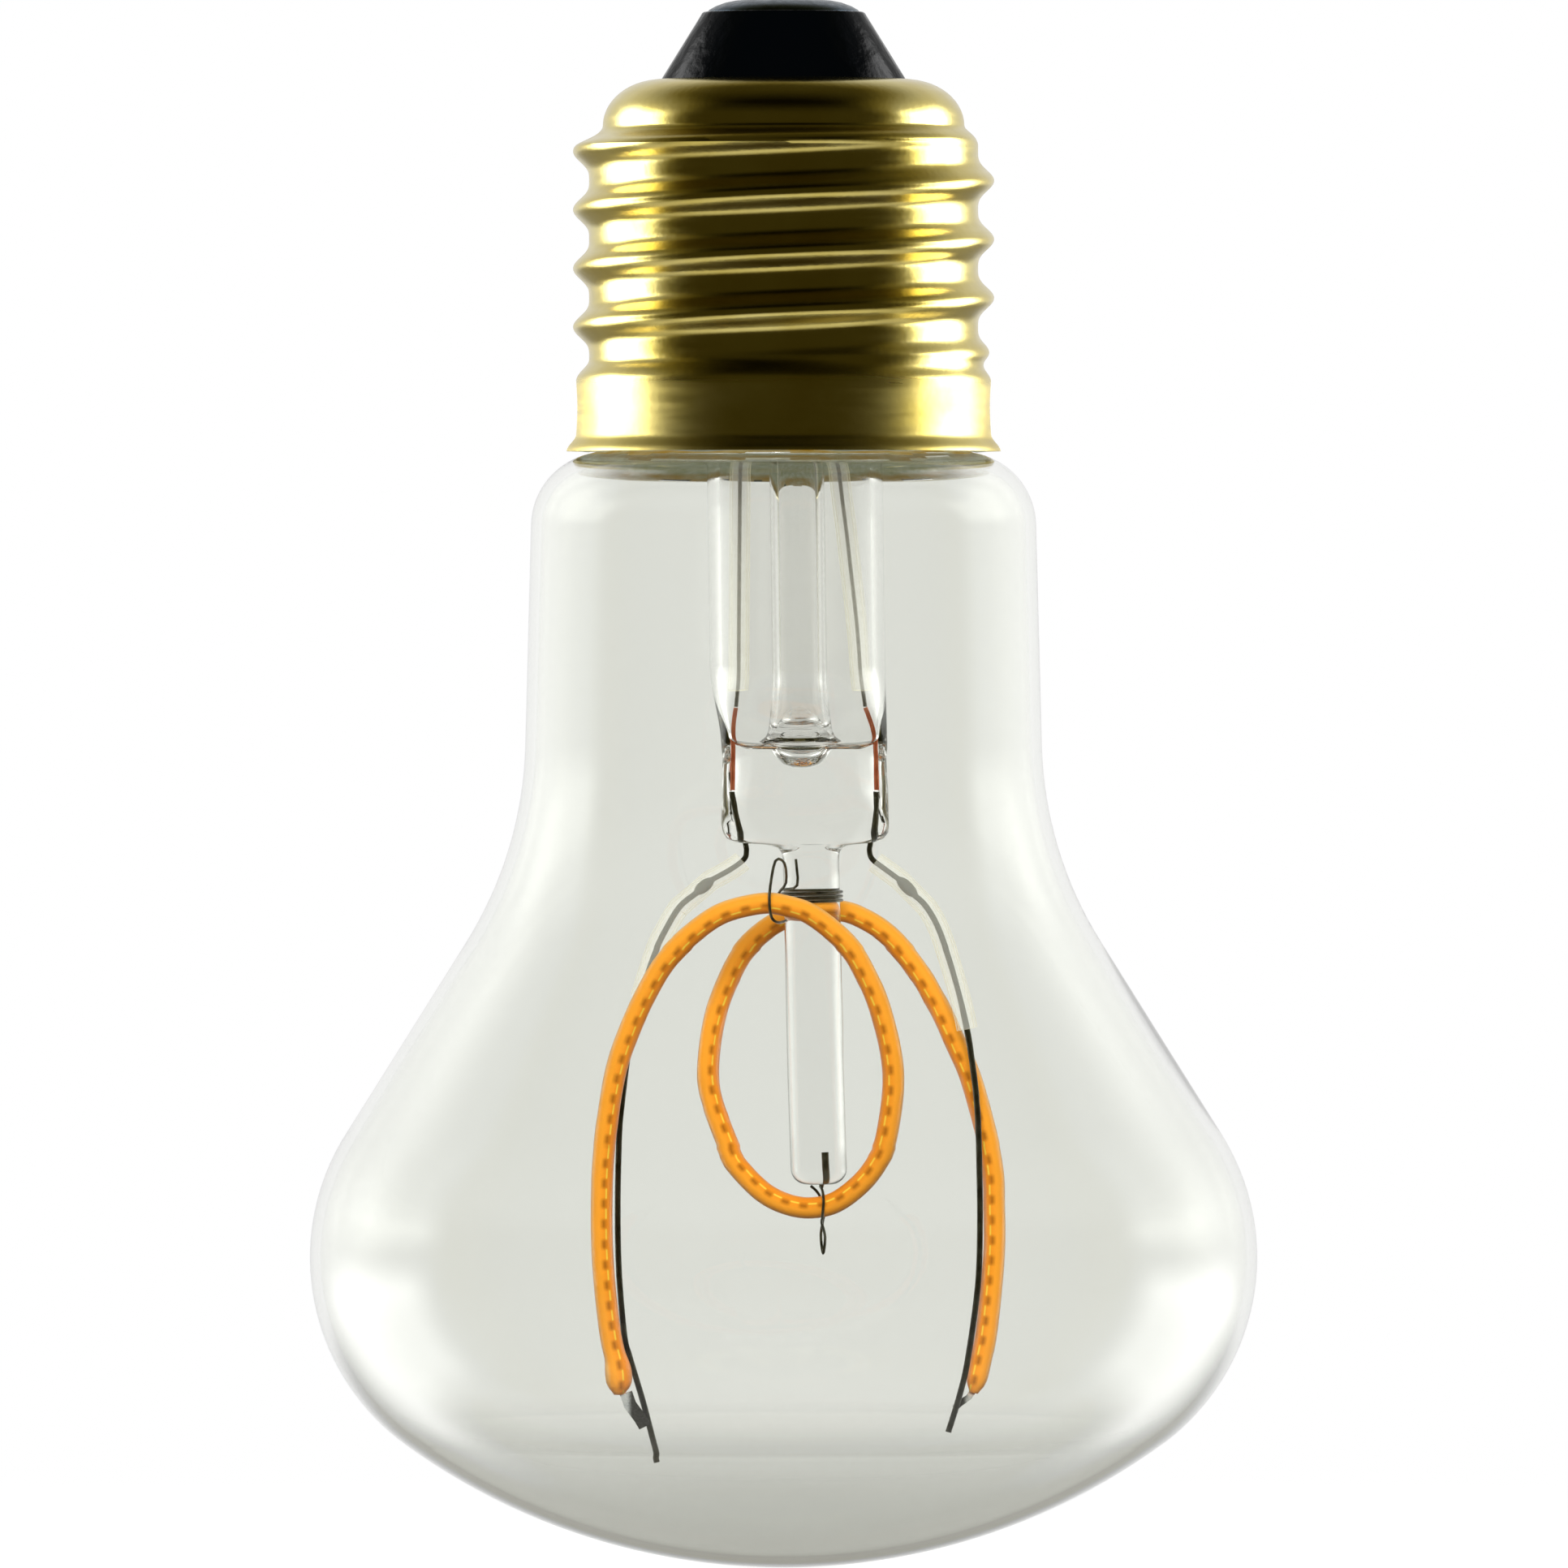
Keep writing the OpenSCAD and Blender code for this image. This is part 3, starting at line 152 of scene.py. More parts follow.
ray = add(studio, "ShaderNodeLightPath").outputs
sharp = product(studio, ray["Is Glossy Ray"], ray["Is Singular Ray"])
blurred = maths(studio, "SUBTRACT", ray["Is Glossy Ray"], sharp)
# Sharp reflections show the room dimmer towards the sides of the glass
dim_side = product(studio, sharp, ramp(studio, back, *DIM_EDGE), 1 - GLASS_ROOM_LEVEL)
room = product(studio, room, maths(studio, "SUBTRACT", 1.0, dim_side))
soft_level = maths(
    studio, "ADD", product(studio, blurred, METAL_BOX),
    product(studio, ray["Is Diffuse Ray"], DIFFUSE_BOX))
boxes = maths(studio, "ADD", product(studio, sharp, sharp_box), product(studio, soft_level, soft_box))
through = product(
    studio, ray["Is Transmission Ray"], ramp(studio, back, *SEEN_EDGE, SEEN_EDGE_LEVEL, 1.0))
level = maths(studio, "MAXIMUM", maths(studio, "MAXIMUM", ray["Is Camera Ray"], through), room)
level = maths(studio, "ADD", level, boxes)
# Brown where the room is dark, and white where it is lit
tint = add(studio, "ShaderNodeMix", {"data_type": "RGBA"}, {
    0: ramp(studio, level, *CLOTH_LEVELS), MIX_A: CLOTH_BROWN, MIX_B: WHITE}).outputs[MIX_COLOUR]
background = add(studio, "ShaderNodeBackground", inputs={"Color": tint, "Strength": level})
add(studio, "ShaderNodeOutputWorld", inputs={"Surface": background.outputs[0]})

# Lamp
# One wide soft lamp in front of the bulb and above it. Its shape isn't seen in the metal or
# the glass.
FRONT_PLACE = (0, -1.6, 0.75)
FRONT_SIZE = 1.2
FRONT_RADIANCE = 13
light = bpy.data.lights.new("front_lamp", "AREA")
light.size = FRONT_SIZE
light.energy = FRONT_RADIANCE * math.pi * FRONT_SIZE ** 2
lamp = bpy.data.objects.new("front_lamp", light)
scene.collection.objects.link(lamp)
lamp.location = FRONT_PLACE
lamp.rotation_euler = (aim - Vector(FRONT_PLACE)).to_track_quat("-Z", "Y").to_euler()
lamp.visible_camera = False
lamp.visible_glossy = False
lamp.visible_transmission = False

# Floor
# A white table that is as white as the world where the bulb leaves it in the light. It
# fades out round the bulb, so it has no horizon, and it isn't in the reflections.
FLOOR_HALF = 3
FLOOR_FADE = (5, 150)
# Seen through the glass, the table glows less: painted shade of the table under the bulb.
SEEN_GLOW, SHADED_THROUGH_GLOW = 0.88, 0.3


def linear(colour):
    """Linear red, green, blue and 1 from an sRGB hex colour."""
    parts = [int(colour[i:i + 2], 16) / 255 for i in (1, 3, 5)]
    return [c / 12.92 if c <= 0.04045 else ((c + 0.055) / 1.055) ** 2.4 for c in parts] + [1]


def surface(name, colour, roughness, **more):
    """A new material's tree and its main shader."""
    made = bpy.data.materials.new(name)
    made.use_nodes = True
    shader = made.node_tree.nodes["Principled BSDF"]
    shader.inputs["Base Color"].default_value = linear(colour)
    shader.inputs["Roughness"].default_value = roughness
    for key, value in more.items():
        shader.inputs[key.replace("_", " ")].default_value = value
    return made, shader


bm = bmesh.new()
bmesh.ops.create_grid(bm, x_segments=1, y_segments=1, size=FLOOR_HALF)
bmesh.ops.translate(bm, verts=bm.verts, vec=(0, 0, -FRAME_HEIGHT * MM))
floor_mesh = bpy.data.meshes.new("floor")
bm.to_mesh(floor_mesh)
bm.free()
floor = bpy.data.objects.new("floor", floor_mesh)
scene.collection.objects.link(floor)
floor.visible_glossy = False

white_table, shader = surface("white_table", "#7C7C7C", 0.9)
tree = white_table.node_tree
ray = add(tree, "ShaderNodeLightPath").outputs
glow = maths(
    tree, "ADD", product(tree, ray["Is Camera Ray"], SEEN_GLOW),
    product(tree, ray["Is Transmission Ray"], SHADED_THROUGH_GLOW))
tree.links.new(glow, shader.inputs["Emission Strength"])
shader.inputs["Emission Color"].default_value = WHITE
place = add(tree, "ShaderNodeTexCoord").outputs["Object"]
from_middle = add(tree, "ShaderNodeVectorMath", {"operation": "DISTANCE"}, {
    0: place, 1: (0, 0, -FRAME_HEIGHT * MM)}).outputs["Value"]
faded = add(tree, "ShaderNodeMixShader", inputs={
    0: ramp(tree, from_middle, FLOOR_FADE[0] * MM, FLOOR_FADE[1] * MM), 1: shader.outputs[0],
    2: add(tree, "ShaderNodeBsdfTransparent").outputs[0]})
tree.links.new(faded.outputs[0], tree.nodes["Material Output"].inputs["Surface"])
floor_mesh.materials.append(white_table)

# Screw shell
# Sheet brass, drawn to a cup and rolled to the thread, then left bare and a little dull
# from handling. Rolling leaves fine lines round the axis.
THREAD_PITCH = 3.629
CREST_R, ROOT_R = 13.05, 12.05
FIRST_CREST = 11.2
MOUTH_R, COLLAR_R, SKIRT_R, RIM_R = 7.6, 11.2, 12.85, 13.45
SHELL_TOP, COLLAR_DEPTH, SKIRT_DEPTH, CAP_DEPTH = 4.93, 7.8, 23.6, 27.96
RIM_HEIGHT = 1.05
SKIRT_WAIST = 0.07
THREAD_FADE = 1.3
CREST_SHARPNESS = 1.8
SHEET = 0.3
SHELL_STEPS, DOME_STEPS, ROWS_PER_PITCH = 160, 14, 24
SAME_PLACE = 1e-4


def mix(a, b, t):
    return a + (b - a) * t


def ease(t):
    t = min(max(t, 0), 1)
    return t * t * (3 - 2 * t)


def piece(name, bm, nodes, materials, sharp=math.radians(35), cavity=False):
    """The finished mesh as a piece that stands for CAD nodes. Its bmesh is in mm.

    With a closed cavity, the faces keep the order of the profile, so the cavity's look inwards.
    """
    bmesh.ops.scale(bm, vec=(MM, MM, MM), verts=bm.verts)
    bmesh.ops.remove_doubles(bm, verts=bm.verts, dist=SAME_PLACE * MM)
    if not cavity:
        bmesh.ops.recalc_face_normals(bm, faces=bm.faces)
    elif bm.calc_volume(signed=True) < 0:
        bmesh.ops.reverse_faces(bm, faces=bm.faces)
    mesh = bpy.data.meshes.new(name)
    bm.to_mesh(mesh)
    bm.free()
    mesh.polygons.foreach_set("use_smooth", [True] * len(mesh.polygons))
    mesh.set_sharp_from_angle(angle=sharp)
    for made in materials:
        mesh.materials.append(made)
    obj = bpy.data.objects.new(name, mesh)
    scene.collection.objects.link(obj)
    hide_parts(*nodes)
    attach(obj, "root")


def spun(profile, steps, closed=True, layers=()):
    """A bmesh turned round the Z axis from a profile of (radius, height) in mm.

    The further values of a row go into the named layers.
    """
    bm = bmesh.new()
    keys = [bm.verts.layers.float.new(name) for name in layers]
    verts = []
    for row in profile:
        vert = bm.verts.new((row[0], 0, row[1]))
        for key, value in zip(keys, row[2:]):
            vert[key] = value
        verts.append(vert)
    pairs = list(zip(verts, verts[1:])) + ([(verts[-1], verts[0])] if closed else [])
    edges = [bm.edges.new(pair) for pair in pairs]
    bmesh.ops.spin(
        bm, geom=verts + edges, cent=(0, 0, 0), axis=(0, 0, 1), angle=2 * math.pi,
        steps=steps, use_merge=True)
    bmesh.ops.remove_doubles(bm, verts=bm.verts, dist=SAME_PLACE / 10)
    return bm


RIM_START = CAP_DEPTH - RIM_HEIGHT
RUN_OUT = SKIRT_DEPTH - 2 * THREAD_FADE


def skirt_profile(depth):
    """Outer radius of the skirt and its flared rim."""
    if depth < RIM_START:
        waist = math.sin(math.pi * max(depth - SKIRT_DEPTH, 0) / (RIM_START - SKIRT_DEPTH))
        return SKIRT_R - SKIRT_WAIST * waist
    return mix(SKIRT_R, RIM_R, ease((depth - RIM_START) / RIM_HEIGHT))


def shell_radius(depth, turn):
    """Outer radius of the rolled sheet at a depth, with the thread as a rounded wave."""
    fade_in = ease((depth - COLLAR_DEPTH) / THREAD_FADE)
    if depth < RUN_OUT + THREAD_FADE:
        wall = mix(COLLAR_R, ROOT_R, fade_in)
    else:
        wall = mix(ROOT_R, skirt_profile(depth), ease((depth - RUN_OUT - THREAD_FADE) / THREAD_FADE))
    share = fade_in * (1 - ease((depth - RUN_OUT) / (2 * THREAD_FADE)))
    wave = (1 + math.cos(2 * math.pi * ((depth - FIRST_CREST) / THREAD_PITCH + turn))) / 2
    return wall + (CREST_R - ROOT_R) * share * wave ** CREST_SHARPNESS


def shell_rows(inset):
    """Profile from the mouth to the rim: radius, height, threaded or not, and inset."""
    dome = [
        (MOUTH_R + (COLLAR_R - MOUTH_R - inset) * math.cos(a),
            -COLLAR_DEPTH + (COLLAR_DEPTH - SHELL_TOP - inset) * math.sin(a), 0, inset)
        for a in [math.pi / 2 * (1 - i / DOME_STEPS) for i in range(DOME_STEPS)]
    ]
    count = round((CAP_DEPTH - COLLAR_DEPTH) / THREAD_PITCH * ROWS_PER_PITCH)
    return dome + [
        (ROOT_R - inset, -mix(COLLAR_DEPTH, CAP_DEPTH, i / count), 1, inset)
        for i in range(count + 1)]


bm = spun(shell_rows(0) + shell_rows(SHEET)[::-1], SHELL_STEPS, layers=("threaded", "inset"))
threaded = bm.verts.layers.float["threaded"]
inset = bm.verts.layers.float["inset"]
for vert in bm.verts:
    if vert[threaded] > 0.5:
        turn = math.atan2(vert.co.y, vert.co.x) / (2 * math.pi)
        factor = (shell_radius(-vert.co.z, turn) - vert[inset]) / (ROOT_R - vert[inset])
        vert.co.x *= factor
        vert.co.y *= factor

# The middle part of the noise, which holds most of its values
NOISE_LOW, NOISE_HIGH = 0.3, 0.7


def grain(made, size, low, high, stretch=(1, 1, 1), detail=4.0):
    """A value that wanders from low to high over patches of a size in mm."""
    tree = made.node_tree
    place = add(tree, "ShaderNodeTexCoord").outputs["Object"]
    scaled = add(tree, "ShaderNodeMapping", inputs={
        "Vector": place, "Scale": [1 / (size * s * MM) for s in stretch]})
    noise = add(tree, "ShaderNodeTexNoise", inputs={
        "Vector": scaled.outputs[0], "Scale": 1.0, "Detail": detail})
    return add(tree, "ShaderNodeMapRange", inputs={
        "Value": noise.outputs[0], "From Min": NOISE_LOW, "From Max": NOISE_HIGH,
        "To Min": low, "To Max": high}).outputs[0]


def blend(made, factor, first, second):
    """A colour between two, each a hex colour or a socket, by a factor from 0 to 1."""
    ends = [linear(c) if isinstance(c, str) else c for c in (first, second)]
    return add(made.node_tree, "ShaderNodeMix", {"data_type": "RGBA"}, {
        0: factor, MIX_A: ends[0], MIX_B: ends[1]}).outputs[MIX_COLOUR]


def patchy(made, size, dark, light):
    """A colour that wanders between two over patches of a size in mm."""
    return blend(made, grain(made, size, 0, 1), dark, light)


def place_on(made, axis):
    """The place of the shaded point along an axis of the part, in metres."""
    place = add(made.node_tree, "ShaderNodeTexCoord").outputs["Object"]
    return add(made.node_tree, "ShaderNodeSeparateXYZ", inputs={"Vector": place}).outputs[axis]


def relief(made, shader, height, depth):
    """Bumps of a depth in mm from a height that runs from 0 to 1."""
    bump = add(made.node_tree, "ShaderNodeBump", inputs={"Height": height, "Distance": depth * MM})
    made.node_tree.links.new(bump.outputs[0], shader.inputs["Normal"])


def feed(made, shader, **sockets):
    """Links sockets to the shader's inputs of the same names."""
    for key, socket in sockets.items():
        made.node_tree.links.new(socket, shader.inputs[key.replace("_", " ")])


# The skirt is duller than the thread, and the lines round the axis are short in height
DULL_START, DULL_END, DULLER_BY = 22.8, 24.4, 0.14
ROLLED, LINE_SIZE, LINE_RELIEF = (12, 12, 1), 0.4, 0.0025
rolled_brass, shader = surface("rolled_brass", "#D0BF6C", 0.2, Metallic=1.0)
tree = rolled_brass.node_tree
lines = grain(rolled_brass, LINE_SIZE, 0.17, 0.23, stretch=ROLLED, detail=1.0)
duller = ramp(tree, place_on(rolled_brass, "Z"), -DULL_START * MM, -DULL_END * MM, 0.0, DULLER_BY)
feed(
    rolled_brass, shader, Base_Color=patchy(rolled_brass, 4, "#C8B45C", "#D8C87C"),
    Roughness=maths(tree, "ADD", lines, duller))
relief(rolled_brass, shader, grain(rolled_brass, LINE_SIZE, 0, 1, detail=2.0), LINE_RELIEF)
piece("brass_shell", bm, ["screw_shell"], [rolled_brass])

# Insulator
# Black glass, poured molten into the shell and pressed to a cone. It sets with a fire
# polish: deep black with sharp, weak reflections, and slightly uneven.
SHANK_HOLE_R, DISC_SEAT_R, FOOT_R, BASE_R = 1.25, 4.75, 7.55, 10.2
SEAT_DEPTH, FOOT_DEPTH, BASE_DEPTH = 1.25, 4.88, 6.9
TURNED_STEPS = 96
bm = spun([
    (SHANK_HOLE_R, -BASE_DEPTH), (SHANK_HOLE_R, -SEAT_DEPTH), (DISC_SEAT_R, -SEAT_DEPTH),
    (DISC_SEAT_R, -0.75), (4.95, -0.76), (5.05, -0.83), (5.12, -0.95), (FOOT_R, -FOOT_DEPTH),
    (FOOT_R, -5.38), (8.8, -5.75), (9.9, -6.4), (BASE_R, -BASE_DEPTH)], TURNED_STEPS)
black_glass, shader = surface("pressed_black_glass", "#020304", 0.03, IOR=1.1)
feed(black_glass, shader, Roughness=grain(black_glass, 2, 0.01, 0.06))
relief(black_glass, shader, grain(black_glass, 1.1, 0, 1), 0.03)
piece("glass_insulator", bm, ["insulator"], [black_glass])

# Centre contact
# A stamped steel disc with a blue-grey plating, domed, with its shank riveted below the
# insulator. It has a satin face with faint scuffs.
LAND_R, DISC_R, DISC_DEPTH = 2.3, 4.7, 1.2
SHANK_R, RIVET_R, RIVET_START, RIVET_END = 1.2, 1.8, 6.95, 7.35
bm = spun([
    (0, 0), (LAND_R, 0), (3.0, -0.06), (3.6, -0.18), (4.2, -0.4), (4.6, -0.62), (DISC_R, -0.74),
    (DISC_R, -DISC_DEPTH), (SHANK_R, -DISC_DEPTH), (SHANK_R, -RIVET_START),
    (RIVET_R, -RIVET_START), (0.8 * RIVET_R, -RIVET_END), (0, -RIVET_END)],
    TURNED_STEPS, closed=False)
plated_steel, shader = surface("blue_plated_steel", "#46535F", 0.3, Metallic=1.0)
feed(
    plated_steel, shader, Base_Color=patchy(plated_steel, 1, "#3C4955", "#51606C"),
    Roughness=grain(plated_steel, 0.4, 0.24, 0.38))
piece("contact_disc", bm, ["centre_contact"], [plated_steel])

# Basing cement
# Resin and marble flour, baked between skirt and glass. It is matt and granular, and its
# lower edge, seen through the glass under the rim, is wavy. A faint glow is painted light,
# which stands for the light that the glass carries into it.
CEMENT_PAINTED_GLOW = 0.4
CEMENT_R, CEMENT_TOP, WAVY_FROM = 10.95, 23.65, 27.8
EDGE_LIFT, LONG_WAVE, SHORT_WAVE = 0.05, 0.04, 0.03
CEMENT_STEPS = 144
bm = spun([
    (CEMENT_R, -CEMENT_TOP), (12.4, -CEMENT_TOP), (12.42, -26.9), (12.75, -27.5), (12.9, -27.85),
    (12.6, -28.0), (12.1, -28.04), (11.65, -27.95), (11.25, -27.7), (11.0, -27.3),
    (CEMENT_R, -26.9)], CEMENT_STEPS)
for vert in bm.verts:
    if vert.co.z < -WAVY_FROM:
        turn = math.atan2(vert.co.y, vert.co.x)
        vert.co.z += (
            EDGE_LIFT + LONG_WAVE * math.sin(7 * turn) + SHORT_WAVE * math.sin(17 * turn + 1))
resin_cement, shader = surface("baked_resin_cement", "#A9AC93", 0.85, Emission_Strength=CEMENT_PAINTED_GLOW)
colour = patchy(resin_cement, 0.8, "#A5A78C", "#BDC2B2")
feed(resin_cement, shader, Base_Color=colour, Emission_Color=colour)
relief(resin_cement, shader, grain(resin_cement, 0.3, 0, 1), 0.05)
piece("cement_ring", bm, ["basing_cement"], [resin_cement])

# Driver
# The board and its parts sit inside the cap, out of sight. Each keeps its CAD mesh and
# takes the finish of its own material: laminate, moulded epoxy, sleeved can, glaze.
driver_finishes = {
    "driver_board": ("fibreglass_laminate", "#1F4F2E", "#2A6339", 0.45),
    "bridge_rectifier": ("rectifier_epoxy", "#161618", "#222225", 0.7),
    "driver_chip": ("chip_epoxy", "#141416", "#1F1F22", 0.65),
    "smoothing_capacitor": ("shrink_sleeved_can", "#1B2036", "#272E4A", 0.35),
    "chip_resistors": ("glazed_resistor", "#1A1A1E", "#2C2C33", 0.4),
    "fusible_resistor": ("flameproof_coating", "#4C7B67", "#5E8D79", 0.55),
    "live_lead": ("red_silicone_lead", "#A83428", "#BC4538", 0.5),
    "neutral_lead": ("blue_silicone_lead", "#34539B", "#4767AE", 0.5),
}
ROUGHNESS_SPREAD = 0.08


def dress(node, made):
    """Gives a CAD mesh that is kept as it is its material."""
    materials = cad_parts[node].data.materials
    materials.clear()
    materials.append(made)


for node, (name, dark, light, roughness) in driver_finishes.items():
    made, shader = surface(name, dark, roughness)
    feed(
        made, shader, Base_Color=patchy(made, 0.8, dark, light),
        Roughness=grain(made, 0.5, roughness - ROUGHNESS_SPREAD, roughness + ROUGHNESS_SPREAD))
    dress(node, made)

# Glass bulb
# Soda-lime glass, blown in a paste mould in which it turns, so it is smooth, thin and
# clear, with the faint green-grey of its iron. Its outline is five arcs, each tangent to
# the next.
BULB_LENGTH, GLASS_R, NECK_R, NECK_FOOT_R, CAP_NECK_R = 97.1, 58.7 / 2, 31.3 / 2, 16, 21.8 / 2
NECK_TOP, SHOULDER_DEPTH, BELLY_H = 22.65, 32.6, 19.2
SHOULDER_R, FLANK_R, BELLY_R, THROAT_R = 4.6, 24, 14.3, 1.2
FLANK_LEAN = 32.1
WALL = 0.65
BULB_STEPS = 192

shoulder = Vector((NECK_R - SHOULDER_R, -SHOULDER_DEPTH))
throat_x = CAP_NECK_R + THROAT_R
throat = Vector((
    throat_x, shoulder.y + math.sqrt((SHOULDER_R + THROAT_R) ** 2 - (throat_x - shoulder.x) ** 2)))
belly = Vector((GLASS_R - BELLY_R, BELLY_H - BULB_LENGTH))
flank_x = NECK_FOOT_R + FLANK_R
lean = math.radians(FLANK_LEAN)
flank = Vector((
    flank_x,
    belly.y + (BELLY_R + FLANK_R - math.cos(lean) * (flank_x - belly.x)) / math.sin(lean)))
base_r = (belly.x ** 2 + BELLY_H ** 2 - BELLY_R ** 2) / (2 * (BELLY_H - BELLY_R))
base = Vector((0, base_r - BULB_LENGTH))


def angle_of(v):
    return math.degrees(math.atan2(v.y, v.x))


shoulder_top = angle_of(throat - shoulder)
neck = angle_of(flank - shoulder) + math.degrees(
    math.acos((SHOULDER_R + FLANK_R) / (flank - shoulder).length))
base_edge = angle_of(belly - base)
# Centre, radius, first and last angle of the normal, and steps. A hollow arc's radius is
# negative.
arcs = [
    (throat, -THROAT_R, 0, shoulder_top, 16), (shoulder, SHOULDER_R, shoulder_top, neck, 18),
    (flank, -FLANK_R, neck, FLANK_LEAN, 16), (belly, BELLY_R, FLANK_LEAN, base_edge, 34),
    (base, base_r, base_edge, -90, 24)]


def wall_line(depth_in):
    """The outline of the glass, or of its inside at a depth in the wall."""
    line = []
    for centre, radius, first, last, steps in arcs:
        for i in range(steps + 1):
            n = math.radians(mix(first, last, i / steps))
            line.append(centre + (radius - depth_in) * Vector((math.cos(n), math.sin(n))))
    apart = [p for p, q in zip(line, line[1:]) if (p - q).length > SAME_PLACE]
    return apart + [Vector((0, line[-1].y))]


outside, inside = wall_line(0), wall_line(WALL)
bm = spun(
    [(CAP_NECK_R, -NECK_TOP)] + [tuple(p) for p in outside] + [tuple(p) for p in inside[::-1]]
    + [(CAP_NECK_R - WALL, -NECK_TOP)], BULB_STEPS)


def clear(name, colour, ior):
    """Clear glass, which lets the lamp's light through to what it holds."""
    made, shader = surface(name, colour, 0.0, IOR=ior, Transmission_Weight=1.0)
    tree = made.node_tree
    thin = add(tree, "ShaderNodeBsdfTransparent", inputs={"Color": linear(colour)})
    both = add(tree, "ShaderNodeMixShader", inputs={
        0: add(tree, "ShaderNodeLightPath").outputs["Is Shadow Ray"],
        1: shader.outputs[0], 2: thin.outputs[0]})
    tree.links.new(both.outputs[0], tree.nodes["Material Output"].inputs["Surface"])
    return made


# The cement wets the neck's outer face as far as a wavy edge below the rim. Through the
# shoulder it is seen as a grey-green band that is brown along its edge.
COAT_DEPTH, COAT_WAVE = 28.15, 0.04
BROWN_START, BROWN_END, BROWN_STRETCH = 27.3, 27.95, (1, 1, 0.2)
# The film has the cement's faint glow too: painted light for the light the glass carries in.
cement_film, shader = surface("cement_film_on_glass", "#B4B894", 0.8, Emission_Strength=CEMENT_PAINTED_GLOW)
tree = cement_film.node_tree
body = patchy(cement_film, 0.9, "#9FA583", "#C6CBB4")
near_edge = ramp(tree, place_on(cement_film, "Z"), -BROWN_START * MM, -BROWN_END * MM)
edge_tone = product(tree, near_edge, grain(cement_film, 1.5, 0.4, 1, stretch=BROWN_STRETCH))
colour = blend(cement_film, edge_tone, body, "#A8842C")
feed(cement_film, shader, Base_Color=colour, Emission_Color=colour)
for face in bm.faces:
    middle = face.calc_center_median()
    turn = math.atan2(middle.y, middle.x)
    limit = COAT_DEPTH + COAT_WAVE * (math.sin(5 * turn + 0.7) + math.sin(13 * turn + 1))
    if math.hypot(middle.x, middle.y) > CAP_NECK_R - WALL / 4 and middle.z > -limit:
        face.material_index = 1
blown_glass = clear("blown_soda_lime_glass", "#F4F5F1", 1.5)
piece(
    "blown_bulb", bm, ["glass_bulb"], [blown_glass, cement_film],
    sharp=math.radians(60))

# Stem
# A glass tube, flared to meet the neck, pressed flat while soft round the wires and the
# rod. Tube, seal and rod are melted into one solid piece of clear glass.
STEM_TOP, STEM_X, PRESS_SHIFT = 22.4, 0.6, 0.35
STEM_LEAN, ROD_LEAN = math.tan(math.radians(0.8)), math.tan(math.radians(1.4))
TUBE_R, TUBE_WALL, FLARE_R, FLARE_H = 5.45, 0.75, 10.9, 5.6
PRESS_START, PRESS_DEPTH, PRESS_END = 41.2, 46.3, 52.4
PRESS_X, PRESS_Y, PRESS_ENTRY_Y, PRESS_INSIDE_Y = 5.15, 2.2, 1.9, 1.85
INSIDE_END = 45.6
ROD_R, ROD_START, ROD_END, ROD_ROUND, ROD_SHIFT = 1.75, 53.3, 73.3, 1, 0.3
STEM_STEPS, ROD_ROWS, ROUND_ROWS, PRESS_ROWS, FLARE_ROWS = 64, 15, 8, 14, 12


def stem_x(depth):
    """The sideways place of the stem's middle at a depth."""
    pressed = ease((depth - PRESS_START) / (PRESS_DEPTH - PRESS_START))
    return STEM_X + (depth - STEM_TOP) * STEM_LEAN + PRESS_SHIFT * pressed


ROD_X = stem_x(PRESS_END) + ROD_SHIFT


def rod_axis(depth):
    return ROD_X + (depth - PRESS_END) * ROD_LEAN


def stem_row(rx, ry, depth, x):
    """One row of the stem's profile: width, height, share of the depth in Y, and place."""
    return (rx, -depth, ry / rx if rx else 1, x)


rows = [stem_row(0, 0, ROD_END, rod_axis(ROD_END))]
for i in range(ROUND_ROWS + 1):
    a = math.pi / 2 * (1 - i / ROUND_ROWS)
    r = ROD_R - ROD_ROUND * (1 - math.cos(a))
    rows.append(stem_row(r, r, ROD_END - ROD_ROUND * (1 - math.sin(a)), rod_axis(ROD_END)))
for i in range(1, ROD_ROWS + 1):
    depth = mix(ROD_END - ROD_ROUND, ROD_START, i / ROD_ROWS)
    rows.append(stem_row(ROD_R, ROD_R, depth, rod_axis(depth)))
# Half width, half thickness, height over the seal's end, and share of the rod's place
for rx, ry, above, share in [
        (1.82, 1.8, -0.5, 0.95), (2.05, 1.85, -0.2, 0.85), (2.6, 1.8, -0.05, 0.6),
        (3.5, 1.7, 0.02, 0.25), (4.35, 1.75, 0.12, 0), (4.85, 1.9, 0.35, 0), (5.1, 2.05, 0.75, 0),
        (5.2, 2.15, 1.3, 0), (5.2, PRESS_Y, 2.2, 0), (5.15, PRESS_Y, 3.2, 0),
        (5.1, 2.1, 4.4, 0), (5.08, 2.0, 5.4, 0)]:
    depth = PRESS_END - above
    rows.append(stem_row(rx, ry, depth, mix(stem_x(depth), rod_axis(depth), share)))
for i in range(PRESS_ROWS + 1):
    t = 1 - i / PRESS_ROWS
    depth = mix(PRESS_START, PRESS_DEPTH, t)
    rows.append(stem_row(
        mix(TUBE_R, PRESS_X, ease(t)), mix(TUBE_R, PRESS_ENTRY_Y, ease(t)), depth, stem_x(depth)))
FLARE_END = STEM_TOP + FLARE_H


def flare_row(a, thick):
    """A row of the flare at an angle from the tube, on the outside or a thickness in."""
    r = mix(FLARE_R, TUBE_R - thick, math.cos(a))
    return stem_row(
        r, r, FLARE_END - (FLARE_H + thick) * math.sin(a), stem_x(FLARE_END) * math.cos(a))


